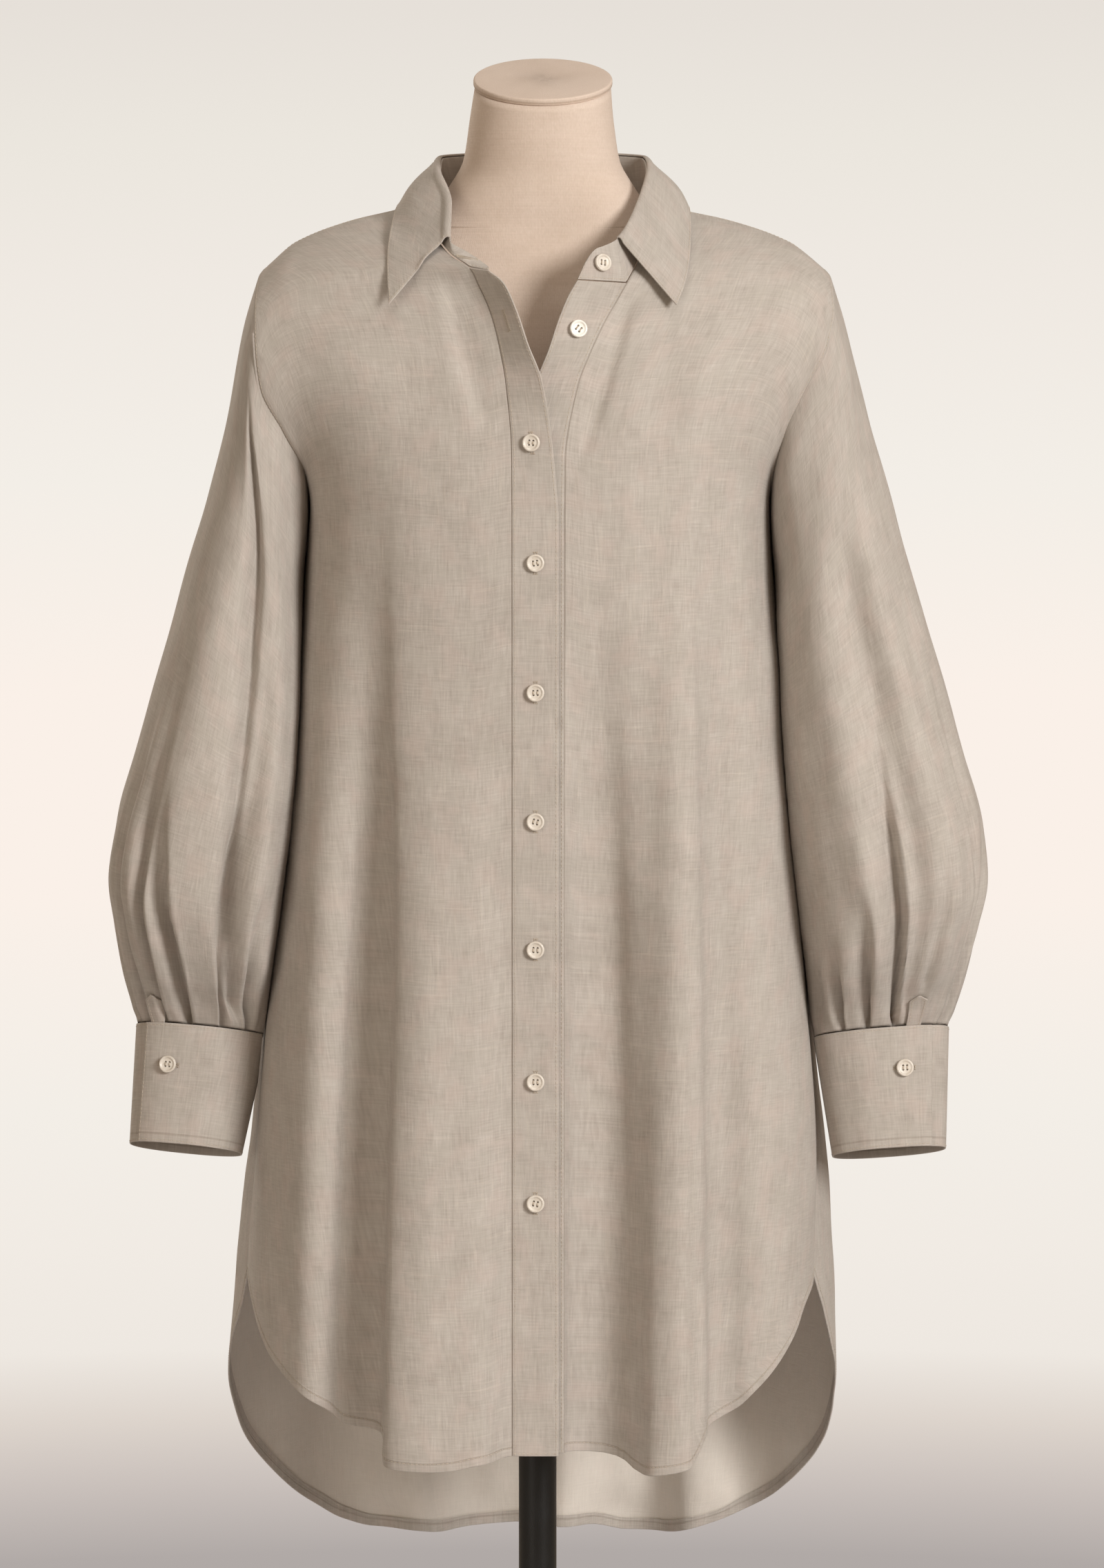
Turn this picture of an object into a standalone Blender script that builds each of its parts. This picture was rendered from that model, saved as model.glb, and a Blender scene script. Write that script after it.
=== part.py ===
"""A long-sleeved linen shirt dress, buttoned on a limbless dress form with a round stand.

The dress faces -Y and Z is up. Right and left are the wearer's, so the right side is at -X.
The origin is the middle of the underside of the stand's base.
"""

import math
from collections import namedtuple

import bmesh
import bpy
import numpy as np
from mathutils import Matrix, Vector
from mathutils.bvhtree import BVHTree

# Cloth and seams
CLOTH = 0.0012
SEAM = 0.0004
SIGN = {"right": -1.0, "left": 1.0}

# Heights of the main levels
UNDERARM = 1.306
HEM_LEVEL = 0.62
NECK_POINT = (0.082, -0.004, 1.521)

# Grid of each panel
LOW_ROWS = 11
UP_ROWS = 12
NECK_ROW = 8
FRONT_COLUMNS = 15
NECK_COLUMNS = 5
NECK_SHARE = 0.3

# The front bands: the right one laps on top of the left one
BAND_SEAM = {"right": 0.0175, "left": 0.019}
BAND_EDGE = {"right": -0.0152, "left": -0.0145}
BAND_LAP = {"right": 0.0024, "left": 0.0}
BAND_COLUMNS = 3

# A section of the skirt is a rounded square to this degree, 1 being an ellipse
SQUARE_FRONT = 0.84
SQUARE_BACK = 0.88

# Sections of the body below the underarm
Level = namedtuple(
    "Level", "height seam_right seam_left wide_right wide_left front back seam_depth wide_depth"
)
SKIRT = (
    Level(0.500, 0.2130, 0.2030, 0.2330, 0.2240, 0.1700, 0.1660, -0.032, 0.040),
    Level(0.640, 0.2120, 0.2020, 0.2290, 0.2200, 0.1660, 0.1600, -0.032, 0.038),
    Level(0.744, 0.2103, 0.2003, 0.2212, 0.2175, 0.1610, 0.1520, -0.030, 0.034),
    Level(0.835, 0.2040, 0.2020, 0.2110, 0.2105, 0.1560, 0.1430, -0.026, 0.028),
    Level(0.929, 0.1965, 0.1965, 0.1985, 0.1995, 0.1510, 0.1350, -0.018, 0.016),
    Level(1.039, 0.1844, 0.1880, 0.1850, 0.1885, 0.1475, 0.1270, -0.012, 0.002),
    Level(1.159, 0.1751, 0.1790, 0.1753, 0.1792, 0.1450, 0.1200, -0.006, 0.000),
    Level(1.247, 0.1681, 0.1704, 0.1681, 0.1704, 0.1440, 0.1160, -0.002, 0.000),
    Level(1.306, 0.1625, 0.1660, 0.1625, 0.1660, 0.1405, 0.1150, 0.000, 0.000),
)

# Heights of the two hems on each side, by the share of the way from the middle to the side seam
Hem = namedtuple("Hem", "sweep right left")
FRONT_HEM = (
    Hem(0.00, 0.6395, 0.6410),
    Hem(0.06, 0.6370, 0.6360),
    Hem(0.10, 0.6340, 0.6285),
    Hem(0.15, 0.6330, 0.6275),
    Hem(0.20, 0.6335, 0.6290),
    Hem(0.25, 0.6360, 0.6320),
    Hem(0.30, 0.6510, 0.6540),
    Hem(0.36, 0.6565, 0.6570),
    Hem(0.43, 0.6660, 0.6645),
    Hem(0.51, 0.6770, 0.6805),
    Hem(0.60, 0.6880, 0.6990),
    Hem(0.69, 0.7010, 0.7170),
    Hem(0.77, 0.7165, 0.7305),
    Hem(0.85, 0.7340, 0.7390),
    Hem(0.93, 0.7430, 0.7435),
    Hem(1.00, 0.7460, 0.7460),
)
BACK_HEM = (
    Hem(0.00, 0.5190, 0.5190),
    Hem(0.06, 0.5150, 0.5195),
    Hem(0.12, 0.5135, 0.5115),
    Hem(0.18, 0.5175, 0.5120),
    Hem(0.24, 0.5170, 0.5190),
    Hem(0.30, 0.5240, 0.5265),
    Hem(0.36, 0.5380, 0.5375),
    Hem(0.43, 0.5540, 0.5520),
    Hem(0.51, 0.5750, 0.5700),
    Hem(0.60, 0.6000, 0.5930),
    Hem(0.67, 0.6220, 0.6130),
    Hem(0.74, 0.6450, 0.6350),
    Hem(0.82, 0.6730, 0.6640),
    Hem(0.90, 0.6990, 0.6950),
    Hem(0.96, 0.7230, 0.7230),
    Hem(1.00, 0.7460, 0.7460),
)

# Folds of the skirt: each is a band between two edges in X, soft at each edge, that swells down to the hem
Fold = namedtuple("Fold", "panel start from_top to_top from_hem to_hem soft_from soft_to rise growth")
FOLDS = (
    Fold("front", 1.22, -0.112, -0.040, -0.108, -0.026, 0.006, 0.012, 0.030, 1.2),
    Fold("front", 1.30, -0.128, -0.106, -0.130, -0.112, 0.008, 0.006, -0.016, 0.6),
    Fold("front", 1.32, -0.158, -0.136, -0.172, -0.142, 0.012, 0.012, 0.010, 0.7),
    Fold("front", 1.30, 0.038, 0.056, 0.030, 0.050, 0.010, 0.010, -0.014, 0.7),
    Fold("front", 1.34, 0.096, 0.110, 0.066, 0.117, 0.012, 0.005, 0.024, 0.8),
    Fold("front", 1.34, 0.124, 0.144, 0.122, 0.146, 0.006, 0.008, -0.010, 0.6),
    Fold("front", 1.30, 0.160, 0.178, 0.164, 0.186, 0.010, 0.010, 0.006, 0.7),
    Fold("back", 1.25, -0.150, -0.110, -0.170, -0.108, 0.016, 0.012, 0.018, 1.0),
    Fold("back", 1.20, -0.096, -0.076, -0.100, -0.078, 0.012, 0.012, -0.014, 1.0),
    Fold("back", 1.30, -0.060, -0.012, -0.064, -0.006, 0.014, 0.014, 0.020, 1.0),
    Fold("back", 1.20, 0.004, 0.024, 0.006, 0.032, 0.012, 0.012, -0.014, 1.0),
    Fold("back", 1.28, 0.036, 0.078, 0.044, 0.096, 0.014, 0.014, 0.020, 1.0),
    Fold("back", 1.20, 0.088, 0.104, 0.104, 0.124, 0.012, 0.012, -0.012, 1.0),
    Fold("back", 1.25, 0.112, 0.146, 0.130, 0.172, 0.014, 0.016, 0.016, 1.0),
)

# The folds start this far from a band, and at these shares of a panel's width from its side seam
FLAT_BESIDE_BAND = 0.016
FLAT_BESIDE_SEAM = {"front": 0.12, "back": 0.25}

# Inner edge of each front above the underarm: up the band's seam to the neck, then round the neckline
Edge = namedtuple("Edge", "rise right_x right_y right_z left_x left_y left_z")
OPENING = (
    Edge(0.0000, 0.0175, -0.1429, 1.3060, 0.0190, -0.1405, 1.3060),
    Edge(0.1667, 0.0177, -0.1385, 1.3480, 0.0195, -0.1360, 1.3450),
    Edge(0.3333, 0.0215, -0.1270, 1.3950, 0.0285, -0.1245, 1.3950),
    Edge(0.4167, 0.0255, -0.1195, 1.4190, 0.0375, -0.1180, 1.4180),
    Edge(0.5000, 0.0316, -0.1130, 1.4435, 0.0475, -0.1100, 1.4390),
    Edge(0.5833, 0.0400, -0.1050, 1.4630, 0.0555, -0.1035, 1.4525),
    Edge(0.6667, 0.0470, -0.1080, 1.4765, 0.0630, -0.0990, 1.4655),
    Edge(0.7500, 0.0600, -0.0960, 1.4840, 0.0700, -0.0850, 1.4780),
    Edge(0.8333, 0.0710, -0.0680, 1.4960, 0.0770, -0.0600, 1.4940),
    Edge(0.9167, 0.0790, -0.0360, 1.5110, 0.0815, -0.0310, 1.5105),
    Edge(1.0000, 0.0820, -0.0040, 1.5210, 0.0820, -0.0040, 1.5210),
)

# Free edge of each band above the underarm, up to the neck
Free = namedtuple("Free", "rise right_x right_y right_z left_x left_y left_z")
FREE_EDGE = (
    Free(0.0000, -0.0152, -0.1432, 1.3060, -0.0145, -0.1408, 1.3060),
    Free(0.1667, -0.0112, -0.1420, 1.3500, -0.0125, -0.1370, 1.3450),
    Free(0.3333, -0.0035, -0.1390, 1.3990, -0.0020, -0.1260, 1.3940),
    Free(0.4167, 0.0060, -0.1370, 1.4235, 0.0078, -0.1210, 1.4190),
    Free(0.5000, 0.0140, -0.1330, 1.4470, 0.0160, -0.1180, 1.4430),
    Free(0.5833, 0.0238, -0.1250, 1.4670, 0.0225, -0.1165, 1.4580),
    Free(0.6667, 0.0340, -0.1180, 1.4750, 0.0285, -0.1150, 1.4680),
)

# Line of the shoulder seam: its fall from the neck point to the shoulder tip
Fall = namedtuple("Fall", "share drop")
SHOULDER = (
    Fall(0.000, 0.0000),
    Fall(0.155, 0.0055),
    Fall(0.457, 0.0138),
    Fall(0.800, 0.0290),
    Fall(0.957, 0.0440),
    Fall(1.000, 0.0490),
)
SHOULDER_TIP = {"right": 0.1955, "left": 0.2050}

# Armholes: how far out the seam lies as it climbs from the underarm to the shoulder tip
Hole = namedtuple("Hole", "rise front_right front_left back_right back_left")
ARMHOLE = (
    Hole(0.000, 0.1625, 0.1660, 0.1625, 0.1660),
    Hole(0.200, 0.1650, 0.1680, 0.1660, 0.1690),
    Hole(0.350, 0.1800, 0.1760, 0.1820, 0.1850),
    Hole(0.475, 0.1960, 0.1900, 0.1950, 0.1990),
    Hole(0.600, 0.2000, 0.2060, 0.2010, 0.2060),
    Hole(0.720, 0.2010, 0.2110, 0.2025, 0.2100),
    Hole(0.870, 0.1995, 0.2100, 0.2000, 0.2090),
    Hole(1.000, 0.1955, 0.2050, 0.1955, 0.2050),
)
ARMHOLE_FRONT = 0.086
ARMHOLE_BACK = 0.072
ARMHOLE_ROUND = 0.9
ARMHOLE_LIFT = 0.88
BACK_NECK = (0.058, 1.520)
SHOULDER_BLADES = 0.014

# Sleeves and cuffs: rings between an outer point on the silhouette and an inner point beside the body
Ring = namedtuple("Ring", "share outer_x outer_z inner_x inner_z front back middle tip")
SLEEVE_RIGHT = (
    Ring(0.00, 0.1955, 1.4720, 0.1625, 1.3060, 0.086, 0.072, 0.000, 0.000),
    Ring(0.06, 0.2060, 1.4400, 0.1620, 1.2920, 0.088, 0.078, 0.000, 0.000),
    Ring(0.12, 0.2125, 1.4120, 0.1640, 1.2750, 0.089, 0.082, 0.000, 0.000),
    Ring(0.20, 0.2215, 1.3702, 0.1665, 1.2452, 0.090, 0.086, -0.002, 0.000),
    Ring(0.30, 0.2370, 1.3126, 0.1660, 1.2056, 0.089, 0.088, -0.010, 0.000),
    Ring(0.40, 0.2545, 1.2510, 0.1660, 1.1610, 0.090, 0.090, -0.018, 0.000),
    Ring(0.50, 0.2720, 1.1865, 0.1690, 1.1165, 0.091, 0.091, -0.026, 0.000),
    Ring(0.60, 0.2890, 1.1269, 0.1740, 1.0739, 0.091, 0.091, -0.032, 0.000),
    Ring(0.70, 0.3030, 1.0749, 0.1800, 1.0339, 0.089, 0.089, -0.033, 0.000),
    Ring(0.77, 0.3080, 1.0369, 0.1845, 1.0039, 0.085, 0.085, -0.033, 0.002),
    Ring(0.84, 0.3035, 1.0019, 0.1885, 0.9779, 0.076, 0.076, -0.032, 0.004),
    Ring(0.90, 0.2970, 0.9679, 0.1915, 0.9549, 0.060, 0.060, -0.030, 0.006),
    Ring(0.96, 0.2915, 0.9419, 0.1940, 0.9329, 0.040, 0.040, -0.028, 0.008),
    Ring(1.00, 0.2890, 0.9289, 0.1955, 0.9199, 0.030, 0.030, -0.028, 0.008),
)
SLEEVE_LEFT = (
    Ring(0.00, 0.2050, 1.4720, 0.1660, 1.3060, 0.086, 0.072, 0.000, 0.000),
    Ring(0.06, 0.2155, 1.4400, 0.1650, 1.2920, 0.088, 0.078, 0.000, 0.000),
    Ring(0.12, 0.2240, 1.4120, 0.1665, 1.2750, 0.089, 0.082, 0.000, 0.000),
    Ring(0.20, 0.2370, 1.3702, 0.1690, 1.2452, 0.090, 0.086, -0.002, 0.000),
    Ring(0.30, 0.2535, 1.3126, 0.1685, 1.2056, 0.089, 0.088, -0.010, 0.000),
    Ring(0.40, 0.2705, 1.2510, 0.1690, 1.1610, 0.090, 0.090, -0.018, 0.000),
    Ring(0.50, 0.2895, 1.1865, 0.1725, 1.1165, 0.091, 0.091, -0.026, 0.000),
    Ring(0.60, 0.3065, 1.1269, 0.1775, 1.0739, 0.091, 0.091, -0.032, 0.000),
    Ring(0.70, 0.3200, 1.0749, 0.1835, 1.0339, 0.089, 0.089, -0.033, 0.000),
    Ring(0.77, 0.3235, 1.0369, 0.1875, 1.0039, 0.085, 0.085, -0.033, 0.002),
    Ring(0.84, 0.3170, 1.0019, 0.1915, 0.9779, 0.076, 0.076, -0.032, 0.004),
    Ring(0.90, 0.3090, 0.9679, 0.1945, 0.9549, 0.060, 0.060, -0.030, 0.006),
    Ring(0.96, 0.3015, 0.9419, 0.1980, 0.9329, 0.040, 0.040, -0.028, 0.008),
    Ring(1.00, 0.2965, 0.9269, 0.2000, 0.9189, 0.030, 0.030, -0.028, 0.008),
)
CUFF_RIGHT = (
    Ring(0.00, 0.2900, 0.9281, 0.1950, 0.9191, 0.031, 0.031, -0.028, 0.008),
    Ring(1.00, 0.2945, 0.8434, 0.2134, 0.8354, 0.029, 0.029, -0.044, 0.008),
)
CUFF_LEFT = (
    Ring(0.00, 0.2975, 0.9261, 0.1995, 0.9181, 0.031, 0.031, -0.028, 0.008),
    Ring(1.00, 0.2950, 0.8399, 0.2129, 0.8339, 0.029, 0.029, -0.044, 0.008),
)
SLEEVES = {"right": SLEEVE_RIGHT, "left": SLEEVE_LEFT}
CUFFS = {"right": CUFF_RIGHT, "left": CUFF_LEFT}
SLEEVE_ROWS = 18
SLEEVE_BLEND = 0.30
SLEEVE_SQUARE = 0.86
SLEEVE_CLEAR = 0.0022
SLEEVE_INSET = 0.0018
SLEEVE_PROUD = 1.3
BESIDE = 0.97
NEARBY = 0.02
PLEAT_DEPTH = 0.0055
PLEAT_START = 0.70

# Long folds of the sleeves: the turn is in degrees from the outer side, forwards
Wave = namedtuple("Wave", "side turn_top turn_hem width rise start stop")
WAVES = (
    Wave("right", 78, 62, 9, -0.008, 0.10, 1.00),
    Wave("right", 100, 88, 12, 0.005, 0.10, 0.92),
    Wave("right", 52, 40, 12, 0.004, 0.20, 0.95),
    Wave("right", 250, 255, 14, -0.006, 0.20, 0.98),
    Wave("right", 300, 300, 14, 0.004, 0.25, 0.95),
    Wave("left", 96, 84, 10, -0.008, 0.25, 1.00),
    Wave("left", 118, 108, 12, 0.005, 0.10, 0.92),
    Wave("left", 66, 58, 12, 0.005, 0.20, 0.95),
    Wave("left", 250, 250, 14, -0.006, 0.20, 0.98),
    Wave("left", 300, 305, 14, 0.004, 0.25, 0.95),
)

# Cuffs: places on a sleeve or cuff are counted in columns, forwards from the outer side
CUFF_ROWS = 3
CUFF_LAP_COLUMNS = 3
CUFF_LAP = 0.0021
CUFF_LAP_START = {"right": 2.7, "left": 3.3}
CUFF_BUTTON = {"right": (1.93, 2.0), "left": (1.91, 1.85)}

# Plackets of the sleeves: each row is a place up and across the cells of the sleeve beside the cuff
SLEEVE_PLACKET_COLUMN = {"right": 3, "left": 4}
PLACKET_RISE = (0.04, 0.40, 0.80, 1.00, 1.16)
PLACKET_WIDTH = (0.90, 0.90, 0.90, 0.90, 0.16)
PLACKET_LIFT = 0.0016

# Collar
Roll = namedtuple("Roll", "place x y z")
ROLL_LINE = (
    Roll(0.00, -0.0337, -0.0950, 1.4775),
    Roll(0.03, -0.0480, -0.0935, 1.4865),
    Roll(0.07, -0.0620, -0.0885, 1.4960),
    Roll(0.17, -0.0615, -0.0540, 1.5220),
    Roll(0.27, -0.0700, -0.0110, 1.5440),
    Roll(0.35, -0.0690, 0.0250, 1.5510),
    Roll(0.43, -0.0400, 0.0460, 1.5530),
    Roll(0.50, 0.0040, 0.0530, 1.5535),
    Roll(0.57, 0.0470, 0.0460, 1.5530),
    Roll(0.65, 0.0765, 0.0250, 1.5510),
    Roll(0.73, 0.0790, -0.0110, 1.5440),
    Roll(0.83, 0.0700, -0.0550, 1.5180),
    Roll(0.92, 0.0561, -0.0900, 1.4960),
    Roll(1.00, 0.0378, -0.1060, 1.4885),
)
Leaf = namedtuple("Leaf", "place x y z")
LEAF_EDGE = (
    Leaf(0.07, -0.1048, -0.1080, 1.4510),
    Leaf(0.13, -0.1050, -0.0830, 1.4700),
    Leaf(0.20, -0.1035, -0.0460, 1.4960),
    Leaf(0.27, -0.1005, -0.0080, 1.5150),
    Leaf(0.36, -0.0900, 0.0380, 1.5130),
    Leaf(0.43, -0.0540, 0.0680, 1.5080),
    Leaf(0.50, 0.0020, 0.0790, 1.5060),
    Leaf(0.57, 0.0560, 0.0680, 1.5080),
    Leaf(0.64, 0.0930, 0.0380, 1.5130),
    Leaf(0.73, 0.1100, -0.0080, 1.5150),
    Leaf(0.80, 0.1090, -0.0460, 1.4940),
    Leaf(0.86, 0.1065, -0.0830, 1.4680),
    Leaf(0.92, 0.0985, -0.1080, 1.4505),
)
LEAF_START = 0.07
LEAF_END = 0.92
LEAF_COLUMNS = 30
STAND_ROWS = 3
STAND_LYING = 0.16
Turned = namedtuple("Turned", "out rise")
LEAF_ROLL = (Turned(-0.0004, 0.0017), Turned(0.0026, 0.0015), Turned(0.0058, -0.0022))
LEAF_BULGE = Turned(0.006, 0.003)
LEAF_CLEAR = 0.0045

# Buttons
BUTTON_RADIUS = 0.0063
BUTTON_THICK = 0.0030
BUTTON_GAP = 0.0008
BUTTON_SIDES = 14
BUTTON_PLACES = (
    ("button_front_1", "left", 1.4338),
    ("button_front_2", "right", 1.3550),
    ("button_front_3", "right", 1.2710),
    ("button_front_4", "right", 1.1800),
    ("button_front_5", "right", 1.0890),
    ("button_front_6", "right", 0.9985),
    ("button_front_7", "right", 0.9050),
    ("button_front_8", "right", 0.8190),
)
STAND_BUTTON = (1.5, 1.45)

# Dress form
Slice = namedtuple("Slice", "height wide front back middle_x middle_y tilt")
TORSO = (
    Slice(0.800, 0.1500, 0.1000, 0.1050, 0.000, 0.002, 0),
    Slice(0.806, 0.1570, 0.1070, 0.1120, 0.000, 0.002, 0),
    Slice(0.880, 0.1630, 0.1140, 0.1150, 0.000, 0.002, 0),
    Slice(0.960, 0.1540, 0.1080, 0.1080, 0.000, 0.000, 0),
    Slice(1.060, 0.1260, 0.0960, 0.0900, 0.000, -0.002, 0),
    Slice(1.150, 0.1320, 0.1080, 0.0930, 0.000, -0.002, 0),
    Slice(1.220, 0.1430, 0.1220, 0.0980, 0.000, -0.002, 0),
    Slice(1.280, 0.1490, 0.1280, 0.1010, 0.000, -0.002, 0),
    Slice(1.340, 0.1500, 0.1180, 0.1020, 0.000, 0.000, 0),
    Slice(1.390, 0.1590, 0.0960, 0.0940, 0.000, 0.002, 0),
    Slice(1.425, 0.1650, 0.0820, 0.0820, 0.000, 0.002, 0),
    Slice(1.448, 0.1660, 0.0700, 0.0700, 0.001, 0.001, 0),
    Slice(1.465, 0.1600, 0.0620, 0.0600, 0.001, 0.000, 0),
    Slice(1.478, 0.1460, 0.0560, 0.0530, 0.001, -0.001, 0),
    Slice(1.488, 0.1260, 0.0530, 0.0490, 0.002, -0.002, 0),
    Slice(1.498, 0.1040, 0.0510, 0.0460, 0.002, -0.003, 0),
    Slice(1.507, 0.0880, 0.0500, 0.0450, 0.003, -0.004, 0),
    Slice(1.518, 0.0760, 0.0490, 0.0450, 0.003, -0.006, 2),
    Slice(1.532, 0.0660, 0.0490, 0.0450, 0.003, -0.007, 4),
    Slice(1.550, 0.0560, 0.0480, 0.0450, 0.003, -0.009, 8),
    Slice(1.575, 0.0520, 0.0490, 0.0480, 0.003, -0.011, 12),
    Slice(1.6035, 0.0485, 0.0480, 0.0480, 0.004, -0.015, 17),
)
TORSO_SIDES = 26
CAP_THICK = 0.0050
CAP_OVERHANG = 0.0012
CAP_ROUND = 0.0015
PART_GAP = 0.0004

# Stand
POLE_RADIUS = 0.0138
SOCKET_RADIUS = 0.0450
SOCKET_THICK = 0.0060
SOCKET_COLLAR = (0.0200, 0.0300)
BASE_RADIUS = 0.1700
BASE_EDGE = 0.0060
BASE_THICK = 0.0140
BASE_BOSS = (0.0230, 0.0400)

LINEN = (0.560, 0.500, 0.440)
RESIN = (0.720, 0.690, 0.610)
PADDING = (0.720, 0.590, 0.460)
BLACK = (0.012, 0.012, 0.013)


def read(table, column, places):
    """A named column of a table, read between its rows along a smooth curve that never overshoots."""
    keys = np.array([row[0] for row in table])
    values = np.array([getattr(row, column) for row in table])
    steps = np.diff(keys)
    slopes = np.diff(values) / steps
    product = slopes[:-1] * slopes[1:]
    total = np.where(product > 0, slopes[:-1] + slopes[1:], 1.0)
    middle = np.where(product > 0, 2 * product / total, 0.0)
    tangents = np.concatenate([slopes[:1], middle, slopes[-1:]])
    places = np.clip(places, keys[0], keys[-1])
    index = np.clip(np.searchsorted(keys, places, side="right") - 1, 0, len(steps) - 1)
    step = steps[index]
    part = (places - keys[index]) / step
    rest = 1 - part
    return (
        values[index] * rest**2 * (1 + 2 * part)
        + values[index + 1] * part**2 * (3 - 2 * part)
        + step * part * rest * (tangents[index] * rest - tangents[index + 1] * part)
    )


def ease(share):
    """Rises smoothly from 0 to 1."""
    share = np.clip(share, 0.0, 1.0)
    return share * share * (3 - 2 * share)


def mix(first, second, share):
    return first + (second - first) * share


def join(x, y, z):
    """Three arrays of coordinates as one array of points."""
    return np.stack(np.broadcast_arrays(x, y, z), axis=-1)


def unit(vectors):
    length = np.linalg.norm(vectors, axis=-1, keepdims=True)
    return vectors / np.maximum(length, 1e-9)


def creases(panel, x, height):
    """How far the folds of a panel stand out at these places."""
    total = np.zeros(np.broadcast(x, height).shape)
    for fold in FOLDS:
        if fold.panel != panel:
            continue
        down = np.clip((fold.start - height) / (fold.start - HEM_LEVEL), 0.0, 1.2)
        low = mix(fold.from_top, fold.from_hem, down)
        high = mix(fold.to_top, fold.to_hem, down)
        after = (1 + np.tanh((x - low) / fold.soft_from)) / 2
        before = (1 + np.tanh((high - x) / fold.soft_to)) / 2
        total = total + fold.rise * down**fold.growth * after * before
    return total


def front_section(side, sweep, height):
    """Points of a front below the underarm, for shares of the way from its band to its side seam."""
    inner = BAND_SEAM[side]
    reach = read(SKIRT, "seam_" + side, height) - inner
    seam = read(SKIRT, "seam_depth", height)
    depth = read(SKIRT, "front", height) + BAND_LAP[side] + seam
    sine = np.sin(sweep * math.pi / 2)
    cosine = np.cos(np.minimum(sweep, 1.0) * math.pi / 2).clip(0.0)
    x = inner + reach * sine**SQUARE_FRONT
    y = seam - depth * cosine**SQUARE_FRONT
    outward = unit(join(sine ** (2 - SQUARE_FRONT) / reach, -(cosine ** (2 - SQUARE_FRONT)) / depth, 0.0))
    held = ease((x - inner) / FLAT_BESIDE_BAND) * ease((1 - sweep) / FLAT_BESIDE_SEAM["front"])
    swell = creases("front", SIGN[side] * x, height) * held
    points = join(x, y, height) + outward * swell[..., None]
    points[..., 0] *= SIGN[side]
    return points


def back_section(side, sweep, height):
    """Points of half the back below the underarm, for shares of the way from its middle to a side seam."""
    seam_x = read(SKIRT, "seam_" + side, height)
    seam_y = read(SKIRT, "seam_depth", height)
    wide_x = np.maximum(read(SKIRT, "wide_" + side, height), seam_x)
    wide_y = read(SKIRT, "wide_depth", height)
    depth = read(SKIRT, "back", height) - wide_y
    last = math.pi - np.arcsin((seam_x / wide_x) ** (1 / SQUARE_BACK))
    turn = sweep * last
    sine = np.sin(turn).clip(0.0)
    behind = np.cos(turn).clip(0.0)
    before = (-np.cos(turn)).clip(0.0) / np.maximum(-np.cos(last), 1e-6)
    x = wide_x * sine**SQUARE_BACK
    y = wide_y + depth * behind**SQUARE_BACK - (wide_y - seam_y) * before
    outward = unit(join(sine ** (2 - SQUARE_BACK) / wide_x, behind ** (2 - SQUARE_BACK) / depth, 0.0))
    swell = creases("back", SIGN[side] * x, height) * ease((1 - sweep) / FLAT_BESIDE_SEAM["back"])
    points = join(x, y, height) + outward * swell[..., None]
    points[..., 0] *= SIGN[side]
    return points


def shoulder_seam(side, share):
    """Points of the shoulder seam, from the neck point to the shoulder tip."""
    x = mix(NECK_POINT[0], SHOULDER_TIP[side], share)
    y = mix(NECK_POINT[1], 0.0, ease(share / 0.5))
    return join(SIGN[side] * x, y, NECK_POINT[2] - read(SHOULDER, "drop", share))


def armhole(side, face, rise):
    """Points of the armhole seam on the front or the back, from the underarm to the shoulder tip."""
    x = read(ARMHOLE, face + "_" + side, rise)
    reach = -ARMHOLE_FRONT if face == "front" else ARMHOLE_BACK
    y = reach * np.sin(math.pi * rise).clip(0.0) ** ARMHOLE_ROUND
    top = NECK_POINT[2] - SHOULDER[-1].drop
    z = mix(UNDERARM, top, ((1 - np.cos(math.pi * rise)) / 2) ** ARMHOLE_LIFT)
    return join(SIGN[side] * x, y, z)


def opening(table, side, rise):
    """Points of an edge beside the neck opening."""
    return join(
        SIGN[side] * read(table, side + "_x", rise),
        read(table, side + "_y", rise),
        read(table, side + "_z", rise),
    )


def stretched(bottom, top, inner, outer, rise, inner_hold, outer_hold):
    """A patch between four edges, upright at its bottom row and rounding over to lie flat at its top row."""
    turn = rise[:, None] * math.pi / 2
    share = join(ease(rise[:, None]), 1 - np.cos(turn), np.sin(turn))
    patch = bottom[None] * (1 - share) + top[None] * share
    pull_in = (inner - patch[:, 0])[:, None] * inner_hold[None, :, None]
    pull_out = (outer - patch[:, -1])[:, None] * outer_hold[None, :, None]
    return patch + pull_in + pull_out


def spread(share):
    """Places the columns of a front closer together where its deep folds turn."""
    density = [1 + 1.3 * math.exp(-(((i + 0.5) / 100 - 0.27) / 0.13) ** 2) for i in range(100)]
    places = np.concatenate([[0.0], np.cumsum(density)]) / sum(density)
    return np.interp(share, places, np.linspace(0, 1, 101))


def front_panel(side, columns, low_rows, up_rows):
    """Grid of a front, from its hem to its shoulder seam and from its band to its side."""
    share = np.linspace(0, 1, columns + 1)
    sweep = spread(share)
    hem = read(FRONT_HEM, side, sweep)
    climb = np.linspace(0, 1, low_rows + 1)[:, None]
    across = np.broadcast_to(sweep, (low_rows + 1, columns + 1))
    low = front_section(side, across, mix(hem, UNDERARM, climb))
    rise = np.linspace(0, 1, up_rows + 1)
    up = stretched(
        low[-1],
        shoulder_seam(side, share),
        opening(OPENING, side, rise),
        armhole(side, "front", rise),
        rise,
        (1 - share) ** 2,
        share**3,
    )
    return np.concatenate([low, up[1:]])


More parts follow.
